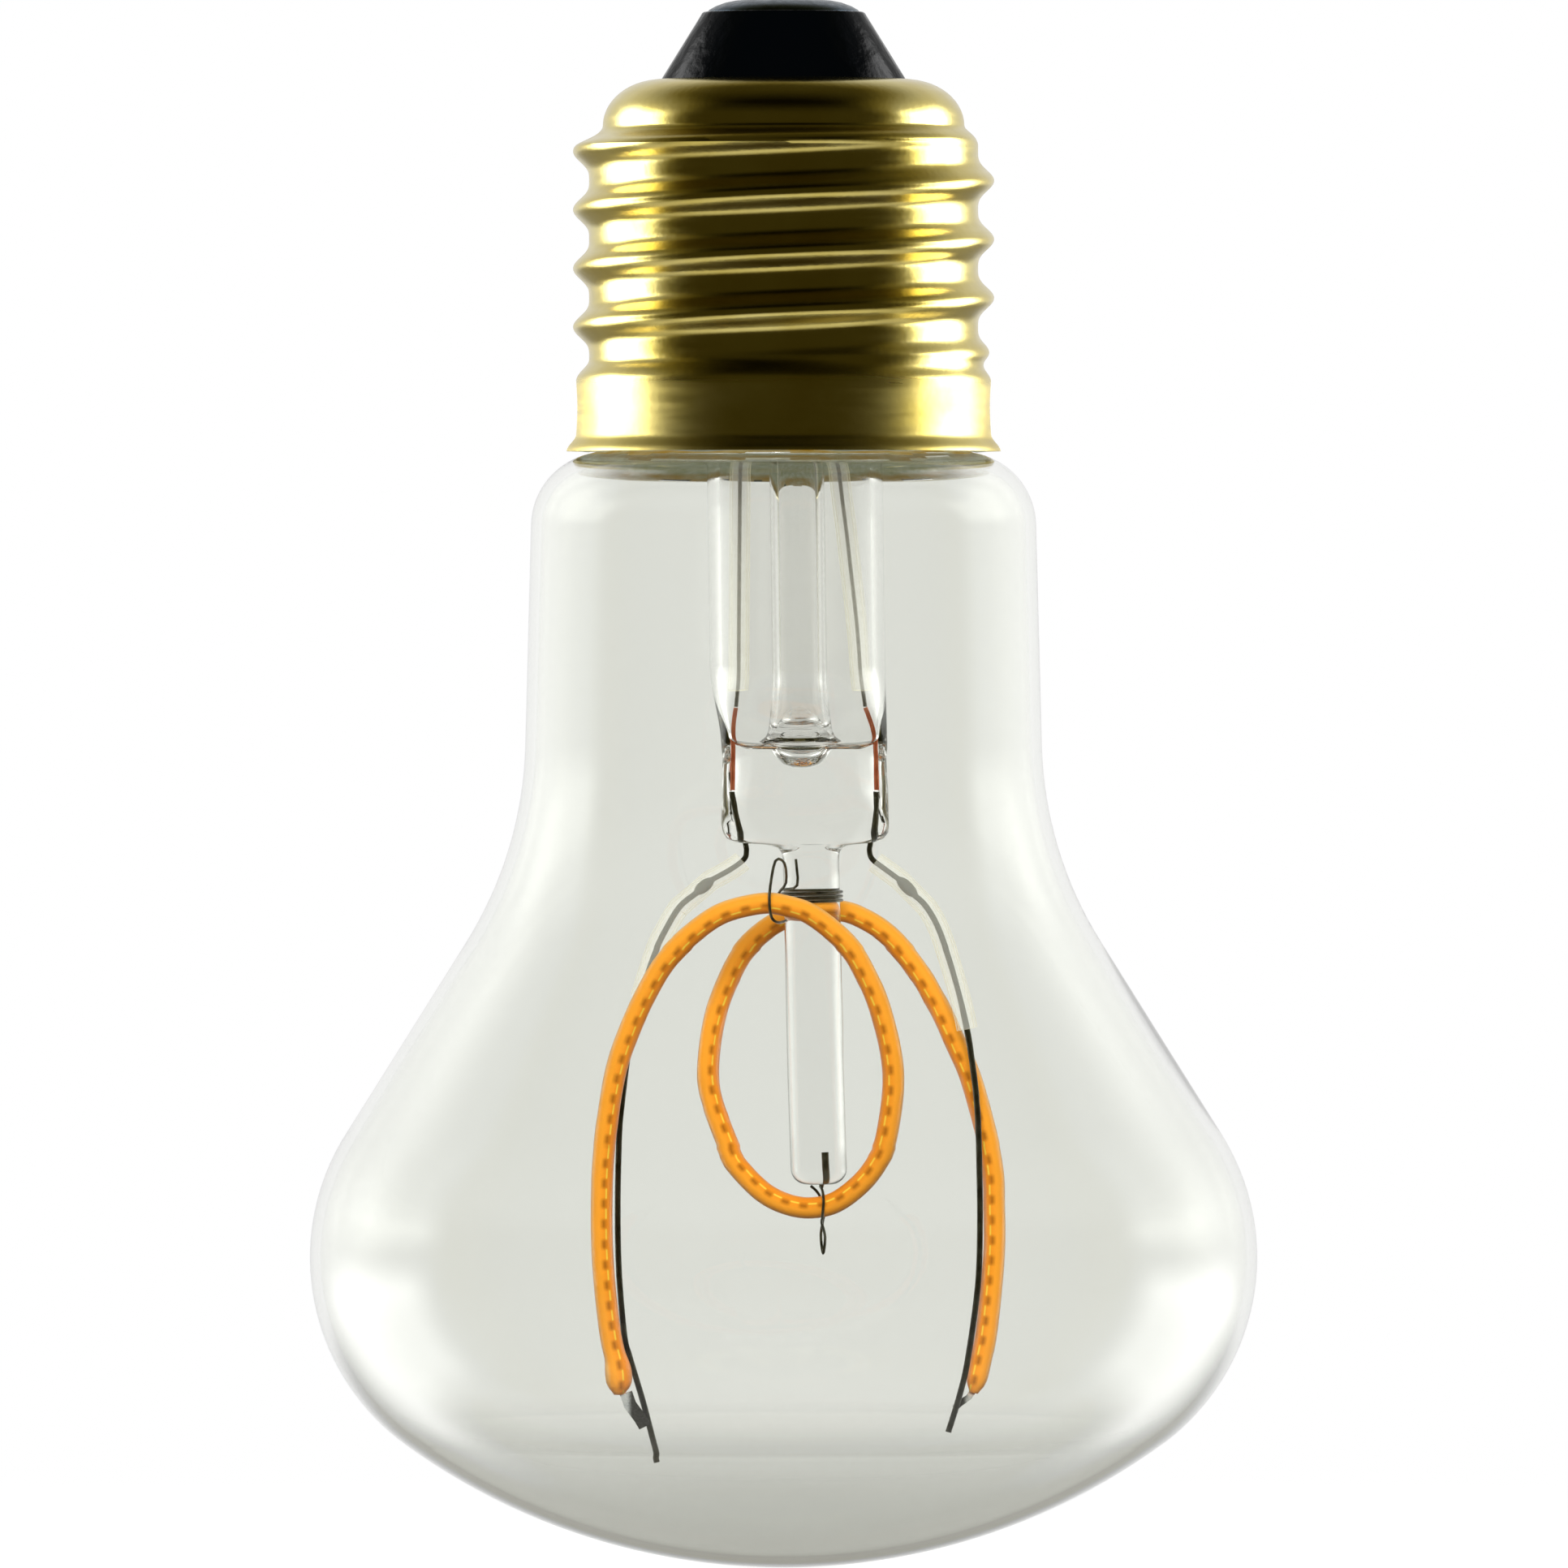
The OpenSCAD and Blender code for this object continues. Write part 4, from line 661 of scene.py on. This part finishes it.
rows += [flare_row(math.pi / 2 * i / FLARE_ROWS, 0) for i in range(FLARE_ROWS + 1)]
rows += [flare_row(math.pi / 2 * (1 - i / FLARE_ROWS), TUBE_WALL) for i in range(FLARE_ROWS + 1)]
for i in range(PRESS_ROWS + 1):
    t = i / PRESS_ROWS
    depth = mix(PRESS_START, INSIDE_END, t)
    rows.append(stem_row(
        mix(TUBE_R, PRESS_X, ease(t)) - TUBE_WALL, mix(TUBE_R, PRESS_INSIDE_Y, ease(t)) - TUBE_WALL,
        depth, stem_x(depth)))
# The tube's inside ends on the seal, with the round pit of the blowing hole
BLOW_X = 1.1
for rx, ry, depth, x in [
        (4.3, 1.05, 45.85, 1.28), (4.0, 0.95, 46.15, 1.28), (3.4, 0.8, 46.42, 1.26),
        (2.8, 0.7, 46.4, 1.2), (2.3, 0.75, 46.2, 1.15), (1.85, 1.0, 46.3, BLOW_X),
        (1.7, 1.4, 46.6, BLOW_X), (1.5, 1.45, 47.0, BLOW_X), (1.1, 1.1, 47.4, BLOW_X),
        (0.6, 0.6, 47.6, BLOW_X), (0, 0, 47.66, BLOW_X)]:
    rows.append(stem_row(rx, ry, depth, x))
bm = spun(rows, STEM_STEPS, closed=False, layers=("share", "place"))
share = bm.verts.layers.float["share"]
place = bm.verts.layers.float["place"]
# The tongs leave folds and ripples in the corners of the seal, round the wires
FOLD_X, FOLD_X_FADE, FOLD_DEPTH, FOLD_DEPTH_FADE = 2.6, 1.6, 47.5, 2.5
FOLD_END, FOLD_SHARE, FOLD_SIDE_SHARE = 52.5, 0.09, 0.012
for vert in bm.verts:
    vert.co.y *= vert[share]
    x, y, z = vert.co
    corner = ease((abs(x) - FOLD_X) / FOLD_X_FADE) * ease((-z - FOLD_DEPTH) / FOLD_DEPTH_FADE)
    if corner > 0 and -z < FOLD_END:
        fold = math.sin(2.6 * z + 1.9 * x) + 0.7 * math.sin(4.3 * x - 3.1 * z + y)
        vert.co.y *= 1 + FOLD_SHARE * corner * fold
        vert.co.x *= 1 + FOLD_SIDE_SHARE * corner * fold
    vert.co.x += vert[place]
stem_glass = clear("pressed_stem_glass", "#FFFFFF", 1.52)
piece(
    "glass_stem", bm, ["stem_tube", "pinch_seal", "support_rod"], [stem_glass],
    sharp=math.radians(75))

# Exhaust tube
# The tube through which the bulb was pumped stands free inside the stem. Its foot is flared
# where it met the seal, and its upper tip is melted shut in the cap.
EXHAUST_FOOT, EXHAUST_TIP, EXHAUST_SHIFT = 45.9, 17.6, 0.22
EXHAUST_R, BORE_R = 1.7, 1.17
EXHAUST_LEAN = math.radians(0.8)
EXHAUST_STEPS = 48
length = (EXHAUST_FOOT - EXHAUST_TIP) / math.cos(EXHAUST_LEAN)
# Up the outside from the middle of the hollow foot to the tip, and down the bore
bm = spun([
    (0, 1.75), (0.5, 1.7), (1.0, 1.42), (1.35, 0.95), (1.5, 0.4), (1.55, 0.05), (1.9, -0.05),
    (2.35, -0.1), (2.5, 0.0), (2.3, 0.22), (2.05, 0.55), (1.87, 1.1), (1.75, 2.0), (EXHAUST_R, 3.2),
    (EXHAUST_R, length - 1.6), (1.5, length - 1.0), (1.2, length - 0.5), (0.8, length - 0.2),
    (0, length), (0, length - 1.4), (0.8, length - 1.8), (BORE_R, length - 2.6), (BORE_R, 3.6),
    (1.2, 2.8), (1.28, 2.2), (1.4, 1.7), (1.48, 1.38), (1.48, 1.2), (1.38, 1.24), (1.2, 1.5),
    (0.95, 1.83), (0.5, 2.11), (0, 2.2)], EXHAUST_STEPS)
bmesh.ops.rotate(bm, cent=(0, 0, 0), matrix=Matrix.Rotation(-EXHAUST_LEAN, 3, "Y"), verts=bm.verts)
bmesh.ops.translate(
    bm, verts=bm.verts, vec=(stem_x(EXHAUST_FOOT) - EXHAUST_SHIFT, 0, -EXHAUST_FOOT))
piece(
    "pumping_tube", bm, ["exhaust_tube"], [stem_glass], sharp=math.radians(75),
    cavity=True)

# Leads in the stem
# Tinned copper leads in clear sleeves run down from the board. At the seal, thin
# copper-clad wires take over, which the glass wets, and show orange-red through it.
LEAD_D, CLAD_D, SLEEVE_D, SLEEVE_WALL = 0.25, 0.28, 1.3, 0.15
LEAD_TOP, LEAD_END, COVER_TOP, COVER_END = 19.4, 43.6, 22.4, 43.2
CLAD_X = 4.2
WIRE_SIDES, SLEEVE_SIDES = 12, 16
SLEEVE_PAINTED_GLOW = 0.55


def smooth(points, steps=6):
    """Points along a smooth line through the given ones."""
    ends = [2 * points[0] - points[1], *points, 2 * points[-1] - points[-2]]
    line = []
    for p, q, r, s in zip(ends, ends[1:], ends[2:], ends[3:]):
        for i in range(steps):
            t = i / steps
            line.append(0.5 * (
                2 * q + (r - p) * t + (2 * p - 5 * q + 4 * r - s) * t * t
                + (3 * q - p - 3 * r + s) * t ** 3))
    return line + [points[-1]]


def swept(line, section, side=Vector((0, 1, 0)), sizes=None, bm=None, steady=False):
    """A bmesh swept along a line. The section's points are outwards and sideways in mm.

    A steady section keeps its side as near to the given one as it can.
    """
    first_side = side
    bm = bm or bmesh.new()
    layers = bm.verts.layers.float
    along, across = [layers.get(name) or layers.new(name) for name in ("along", "across")]
    reach = 0
    ring = None
    for i, point in enumerate(line):
        heading = (line[min(i + 1, len(line) - 1)] - line[max(i - 1, 0)]).normalized()
        side = first_side if steady else side
        side = (side - side.dot(heading) * heading).normalized()
        out = heading.cross(side)
        reach += (point - line[i - 1]).length if i else 0
        size = sizes(i) if sizes else 1
        if ring is None:
            ring = [bm.verts.new((0, 0, 0)) for _ in section]
            edges = [bm.edges.new((a, b)) for a, b in zip(ring, ring[1:] + ring[:1])]
            bm.faces.new(ring)
        else:
            made = bmesh.ops.extrude_edge_only(bm, edges=edges)["geom"]
            edges = [g for g in made if isinstance(g, bmesh.types.BMEdge)]
            ring = [next(
                e.other_vert(v) for e in v.link_edges
                if e.other_vert(v) in made and e not in edges) for v in ring]
        for vert, (a, b) in zip(ring, section):
            vert.co = point + size * (a * out + b * side)
            vert[along], vert[across] = reach, a * size
    bm.faces.new(ring)
    return bm


def circle(diameter, sides=WIRE_SIDES):
    """A round section of a diameter in mm."""
    turns = [2 * math.pi * k / sides for k in range(sides)]
    return [(diameter / 2 * math.cos(a), diameter / 2 * math.sin(a)) for a in turns]


def sleeve(name, line, nodes, made):
    """A thin open tube along a line."""
    bm = swept(line, circle(SLEEVE_D, SLEEVE_SIDES))
    swept(line, circle(SLEEVE_D - 2 * SLEEVE_WALL, SLEEVE_SIDES), bm=bm)
    ends = [f for f in bm.faces if len(f.verts) > 4]
    bmesh.ops.delete(bm, geom=ends, context="FACES_ONLY")
    along = bm.verts.layers.float["along"]
    for first in (True, False):
        rims = [e for e in bm.edges if e.is_boundary and (e.verts[0][along] == 0) == first]
        bmesh.ops.bridge_loops(bm, edges=rims)
    piece(name, bm, nodes, [made], sharp=math.radians(60))


def at(x, depth, front=0):
    """A place in mm: sideways, below the contact and in front of the axis."""
    return Vector((x, -front, -depth))


tinned_copper, shader = surface("tinned_copper", "#8A857A", 0.42, Metallic=1.0)
feed(tinned_copper, shader, Base_Color=patchy(tinned_copper, 0.5, "#7C776C", "#9A958A"))
copper_clad, shader = surface("copper_clad_wire", "#B4593A", 0.3, Metallic=0.6)
feed(copper_clad, shader, Base_Color=patchy(copper_clad, 0.6, "#A54A2E", "#CC7450"))
# The sleeves glow faintly in their own colour: painted light that keeps them pale inside the glass.
milky_sleeve, shader = surface(
    "milky_silicone_sleeve", "#E4E0BC", 0.3, Emission_Strength=SLEEVE_PAINTED_GLOW)
tree = milky_sleeve.node_tree
edge_on = add(tree, "ShaderNodeLayerWeight", inputs={"Blend": 0.3}).outputs["Facing"]
colour = blend(milky_sleeve, edge_on, "#DDDCD6", "#F2E8B6")
feed(
    milky_sleeve, shader, Base_Color=colour, Emission_Color=colour,
    Alpha=ramp(tree, edge_on, 0.3, 0.95, 0.14, 0.6))
# Each lead runs from its hole in the board to its end at the seal
for side, sign, hole, end in (("left", -1, -2.7, -2.8), ("right", 1, 3.3, 4.9)):
    run = smooth([
        at(hole, LEAD_TOP), at(hole, 22.6), at(mix(hole, end, 0.12), 29),
        at(mix(hole, end, 0.45), 34), at(mix(hole, end, 0.8), 39), at(end, LEAD_END)], 5)
    piece(
        side + "_stem_lead", swept(run, circle(LEAD_D)), [side + "_lead"],
        [tinned_copper])
    cover = [p for p in run if -COVER_END < p.z < -COVER_TOP]
    sleeve(side + "_stem_sleeve", cover, [side + "_lead_sleeve"], milky_sleeve)
    clad = smooth([at(end, LEAD_END + 0.05)] + [
        at(stem_x(depth) + sign * CLAD_X, depth) for depth in (45.3, 46.3, 49)], 5)
    piece(
        side + "_clad_wire", swept(clad, circle(CLAD_D)), [side + "_seal_wire"],
        [copper_clad])

# Support wires
# Nickel-plated iron wire, dull and dark from the sealing flame. Each is welded to a short
# lead from the seal inside a clear sleeve, bows out, and is cut off below the filament.
WIRE_D, SHORT_LEAD_D, BEAD_D = 0.38, 0.342, 0.76
BEAD_TIP, BEAD_BULGE = 0.45, 0.6
COVER_START, PAST_BEAD = 53.45, 56.2
oxidised_nickel, shader = surface("oxidised_nickel_wire", "#3E3D35", 0.35, Metallic=0.9)
feed(oxidised_nickel, shader, Base_Color=patchy(oxidised_nickel, 1.2, "#2E2D27", "#55544A"))
burnt_weld, shader = surface("burnt_weld", "#2A2925", 0.5, Metallic=0.7)
feed(burnt_weld, shader, Base_Color=patchy(burnt_weld, 0.25, "#1E1D1A", "#45433C"))
# Sideways place and depth along each wire
wires = {
    "left": {
        "lead": [(-2.92, 49.1), (-2.7, 50.6), (-2.4, 52.2), (-2.3, 52.8), (-2.45, 53.35), (-3.3, 54.0),
            (-4.55, 54.7)],
        "bead": [(-4.4, 54.62), (-5.45, 55.48)],
        "wire": [(-5.3, 55.4), (-6.41, 56.32), (-7.32, 57.83), (-8.02, 59.34), (-8.8, 61.9),
            (-9.55, 65.2), (-10.08, 69.14), (-10.26, 72.92), (-10.23, 78.2), (-9.88, 82.72),
            (-9.53, 84.23), (-8.67, 87.25), (-7.86, 90.7)],
        "sleeve_end": 62.1},
    "right": {
        "lead": [(5.5, 49.1), (5.47, 50.6), (5.4, 52.2), (5.32, 52.8), (5.5, 53.35), (6.2, 53.9),
            (7.2, 54.65)],
        "bead": [(7.1, 54.55), (8.2, 55.65)],
        "wire": [(8.05, 55.55), (8.83, 56.32), (9.65, 57.83), (10.66, 60.85), (11.39, 63.86),
            (11.84, 66.88), (12.04, 69.14), (12.14, 72.92), (12.17, 75.93), (12.04, 79.7),
            (11.44, 84.23), (10.96, 86.49), (10.22, 89.1)],
        "sleeve_end": 63.9},
}


def bead_size(i):
    """Size of the bead's section, which is thickest at its middle."""
    return mix(BEAD_TIP, 1, math.sin(math.pi * i / bead_last) ** BEAD_BULGE)


for side, lines in wires.items():
    lead, bead, wire = [
        smooth([at(x, depth) for x, depth in lines[key]]) for key in ("lead", "bead", "wire")]
    piece(
        side + "_short_lead", swept(lead, circle(SHORT_LEAD_D)), [side + "_inner_lead"],
        [oxidised_nickel])
    piece(
        side + "_long_wire", swept(wire, circle(WIRE_D)), [side + "_support_wire"],
        [oxidised_nickel])
    bead_last = len(bead) - 1
    piece(
        side + "_weld", swept(bead, circle(BEAD_D), sizes=bead_size), [side + "_weld_bead"],
        [burnt_weld])
    cover = [p for p in lead if p.z < -COVER_START] + [bead[bead_last // 2]] + [
        p for p in wire if -lines["sleeve_end"] < p.z < -PAST_BEAD]
    sleeve(
        side + "_wire_sleeve", smooth(cover, 2), [side + "_support_sleeve"], milky_sleeve)

# Filament
# A flexible strip of blue diodes, dipped in silicone with phosphor: an even orange, soft
# and a little glossy. The diodes and their gold wires show dark and bright through it.
BAND_T, BAND_W = 1.35, 1.5
BAND_STEPS, BAND_SIDES = 8, 24
ROUNDED_STEPS, LEAST_SIZE = 6, 0.4
DROP_END, DROP_FADE, DROP_SWELL = 12, 5, 0.24
CHIP_PITCH = 1.28
STRIP_OUT, STRIP_T, STRIP_HALF, STRIP_INSET = 0.17, 0.12, 0.58, 5
# Sideways place, depth and distance in front of the axis, from the left end to the right
filament_line = smooth([at(*p) for p in [
    (-10.18, 86.55, 0.95), (-10.26, 84.9, 1.0), (-10.76, 82.47, 1.05), (-11.2, 77.9, 1.25),
    (-11.24, 73.42, 1.3), (-11.01, 70.4, 1.35), (-10.38, 66.63, 1.45), (-9.38, 63.61, 1.65),
    (-7.9, 60.6, 1.95), (-6.75, 59.05, 2.2), (-5.13, 57.58, 2.5), (-3.55, 56.62, 2.72),
    (-1.28, 56.09, 2.85), (0.23, 56.27, 2.85), (1.73, 56.82, 2.83), (3.6, 58.33, 2.78),
    (4.75, 59.84, 2.7), (6.08, 62.86, 2.5), (6.81, 66.63, 2.34), (6.39, 70.4, 1.9),
    (5.76, 71.91, 1.55), (4.75, 73.24, 1.15), (3.24, 74.4, 0.6), (1.73, 74.78, 0),
    (0.23, 74.57, -0.55), (-1.28, 73.8, -1.1), (-2.79, 72.26, -1.6), (-3.42, 71.16, -1.8),
    (-4.48, 68.14, -2.2), (-4.65, 65.87, -2.34), (-4.15, 62.86, -2.55), (-2.92, 59.84, -2.72),
    (-1.68, 58.33, -2.78), (-0.03, 57.2, -2.82), (1.99, 56.6, -2.85), (3.6, 56.68, -2.85),
    (4.75, 57.05, -2.83), (6.26, 57.98, -2.7), (7.77, 59.54, -2.5), (9.28, 61.78, -2.2),
    (10.79, 64.89, -1.8), (11.79, 67.38, -1.55), (12.9, 71.91, -1.35), (13.07, 74.93, -1.3),
    (13.05, 77.94, -1.25), (12.62, 82.47, -1.1), (12.18, 84.73, -1.0), (11.8, 86.55, -0.95)]],
    BAND_STEPS)
last = len(filament_line) - 1


def end_size(i):
    """Size of the section: rounded ends, and a drop of silicone at the left one."""
    near = min(i, last - i, ROUNDED_STEPS) / ROUNDED_STEPS
    rounded = math.sqrt(max(LEAST_SIZE ** 2, 1 - (1 - near) ** 2))
    return rounded * (1 + DROP_SWELL * ease((DROP_END - i) / DROP_FADE))


oval = [(BAND_T * a, BAND_W * b) for a, b in circle(1, BAND_SIDES)]
bm = swept(filament_line, oval, sizes=end_size, steady=True)
# A faint orange glow on the silicone is painted light, which makes it brighter than the lamps do.
phosphor_silicone, shader = surface(
    "phosphor_silicone", "#F5930F", 0.45, Specular_IOR_Level=0.35, Emission_Strength=0.14)
shader.inputs["Emission Color"].default_value = linear("#FF9630")
tree = phosphor_silicone.node_tree
along = add(tree, "ShaderNodeAttribute", {"attribute_name": "along"}).outputs["Fac"]
across = add(tree, "ShaderNodeAttribute", {"attribute_name": "across"}).outputs["Fac"]


def dashes(length, shift, place, width, fade):
    """1 on dashes along the strip and 0 between them. The shift is in diodes, the rest in mm."""
    turn = add(tree, "ShaderNodeMath", {"operation": "MULTIPLY_ADD"}, {
        0: along, 1: 1 / CHIP_PITCH, 2: shift}).outputs[0]
    masks = []
    for value, middle, half, soft in (
            (maths(tree, "FRACT", turn), 0.5, length / CHIP_PITCH / 2, fade / CHIP_PITCH),
            (across, place, width / 2, fade)):
        off = maths(tree, "ABSOLUTE", maths(tree, "SUBTRACT", value, middle))
        masks.append(add(tree, "ShaderNodeMapRange", inputs={
            "Value": off, "From Min": half + soft / 2, "From Max": half - soft / 2,
            "To Min": 0.0, "To Max": 1.0}).outputs[0])
    return product(tree, *masks)


chips = dashes(length=0.56, shift=0.0, place=-0.14, width=0.27, fade=0.26)
gold = dashes(length=0.66, shift=0.5, place=-0.28, width=0.09, fade=0.06)
# The silicone is paler towards the outside of the arches, and palest along their edge
uneven = patchy(phosphor_silicone, 3, "#EA8A20", "#F59428")
body = blend(phosphor_silicone, ramp(tree, across, -0.4, 0.3), uneven, "#FCA634")
body = blend(phosphor_silicone, ramp(tree, across, 0.42, 0.68, 0.0, 0.7), body, "#FFCB74")
with_gold = blend(phosphor_silicone, gold, body, "#F5D650")
feed(
    phosphor_silicone, shader,
    Base_Color=blend(phosphor_silicone, chips, with_gold, "#9C5A14"),
    Roughness=grain(phosphor_silicone, 0.5, 0.32, 0.46))
relief(phosphor_silicone, shader, grain(phosphor_silicone, 0.9, 0, 1), 0.03)
piece(
    "filament_silicone", bm, ["outer_phosphor", "inner_phosphor"], [phosphor_silicone],
    sharp=math.radians(80))
polyimide, shader = surface("polyimide_strip", "#B89A5E", 0.5)
feed(polyimide, shader, Base_Color=patchy(polyimide, 0.3, "#B89A5E", "#CDB078"))
strip = [
    (STRIP_OUT, -STRIP_HALF), (STRIP_OUT, STRIP_HALF), (STRIP_OUT - STRIP_T, STRIP_HALF),
    (STRIP_OUT - STRIP_T, -STRIP_HALF)]
piece(
    "diode_strip", swept(filament_line[STRIP_INSET:-STRIP_INSET], strip, steady=True),
    ["filament_strip"], [polyimide])
# The diodes and their wires keep their CAD meshes
strip_finishes = {
    "led_chips": ("diode_sapphire", "#6B4620", "#86592C", 0.25, 0.0),
    "bond_wires": ("gold_bond_wire", "#D9B040", "#F0CE6A", 0.2, 1.0),
}
for node, (name, dark, light, roughness, metal) in strip_finishes.items():
    made, shader = surface(name, dark, roughness, Metallic=metal)
    feed(made, shader, Base_Color=patchy(made, 0.3, dark, light))
    dress(node, made)

# End tabs
# Stamped, nickel-plated strip ends, crimped and welded to the support wires. They are
# bright where flat and darkened by the weld.
# Sideways places between which the metal turns from bright to dark
burnt_places = {"left": (-9.75 * MM, -9.35 * MM), "right": (11.6 * MM, 11.1 * MM)}
for side, burnt in burnt_places.items():
    made, shader = surface(side + "_tab_nickel", "#B9BCC0", 0.25, Metallic=0.5)
    weld = ramp(made.node_tree, place_on(made, "X"), *burnt)
    feed(
        made, shader,
        Base_Color=blend(made, weld, patchy(made, 0.5, "#D5D7DA", "#F4F5F6"), "#35332E"),
        Roughness=grain(made, 0.3, 0.18, 0.35))
    dress(side + "_end_tab", made)

# Tie wires
# Soft iron tie wire, oxidised dark. The upper one is wound on the rod and hooked round
# the front arch; the lower one hangs the loop from an anchor melted into the rod's end.
TIE_D, ANCHOR_D, TIE_GAP, TIE_SIDES = 0.18, 0.3, 0.03, 8
TIE_DEPTH, TIE_PITCH, TIE_TURNS, TIE_STEPS, TIE_START = 56.05, 0.27, 3.1, 12, 205
TIE_R = ROD_R + TIE_D / 2 + TIE_GAP
tie_iron, shader = surface("oxidised_tie_iron", "#55544A", 0.28, Metallic=0.9)
feed(tie_iron, shader, Base_Color=patchy(tie_iron, 0.8, "#34332C", "#7C7A6C"))


def winding(turn):
    """A place on the winding round the rod, which climbs with each turn."""
    depth = TIE_DEPTH - TIE_PITCH * turn
    a = math.radians(360 * turn + TIE_START)
    return Vector((rod_axis(depth) + TIE_R * math.cos(a), TIE_R * math.sin(a), -depth))


top = TIE_DEPTH - TIE_PITCH * TIE_TURNS
hook = [at(*p) for p in [
    (0.15, 57.2, 2.1), (-0.3, 57.3, 3.2), (-0.72, 57.0, 3.9), (-0.87, 56.1, 4.0),
    (-0.82, 55.0, 3.85), (-0.5, 53.4, 3.4), (0.05, 53.55, 2.8), (0.15, 54.8, 1.8),
    (-0.3, 55.5, 0.9)]]
turns = [winding(i / TIE_STEPS) for i in range(round(TIE_STEPS * TIE_TURNS))]
tail = [
    at(rod_axis(top) - 0.9, top - 0.25, TIE_R + 0.05),
    at(rod_axis(top) - 0.98, top - 1.9, TIE_R + 0.15)]
upper = smooth(hook + turns + tail, 3)
piece(
    "upper_tie", swept(upper, circle(TIE_D, TIE_SIDES), Vector((0, 0, 1))), ["upper_tie_wire"],
    [tie_iron])
anchor = smooth([at(2.42, 71.3), at(2.46, 72.2), at(2.5, 72.8), at(2.32, 73.5)])
piece("rod_anchor", swept(anchor, circle(ANCHOR_D)), ["anchor_wire"], [tie_iron])
lower = smooth([at(*p) for p in [
    (2.3, 73.45, 0.3), (2.42, 73.75, 0.9), (2.47, 74.4, 1.25), (2.4, 75.3, 1.2), (2.36, 75.7, 0.7),
    (2.57, 76.6, 0.22), (2.45, 77.65, 0.03), (2.31, 76.6, -0.22), (2.42, 75.7, -0.7),
    (2.5, 75.1, -0.95), (2.3, 74.2, -0.85), (2.05, 73.75, -0.7), (1.68, 73.4, -0.6)]], 6)
piece(
    "lower_tie", swept(lower, circle(TIE_D, TIE_SIDES), Vector((1, 0, 0))), ["lower_tie_wire"],
    [tie_iron])
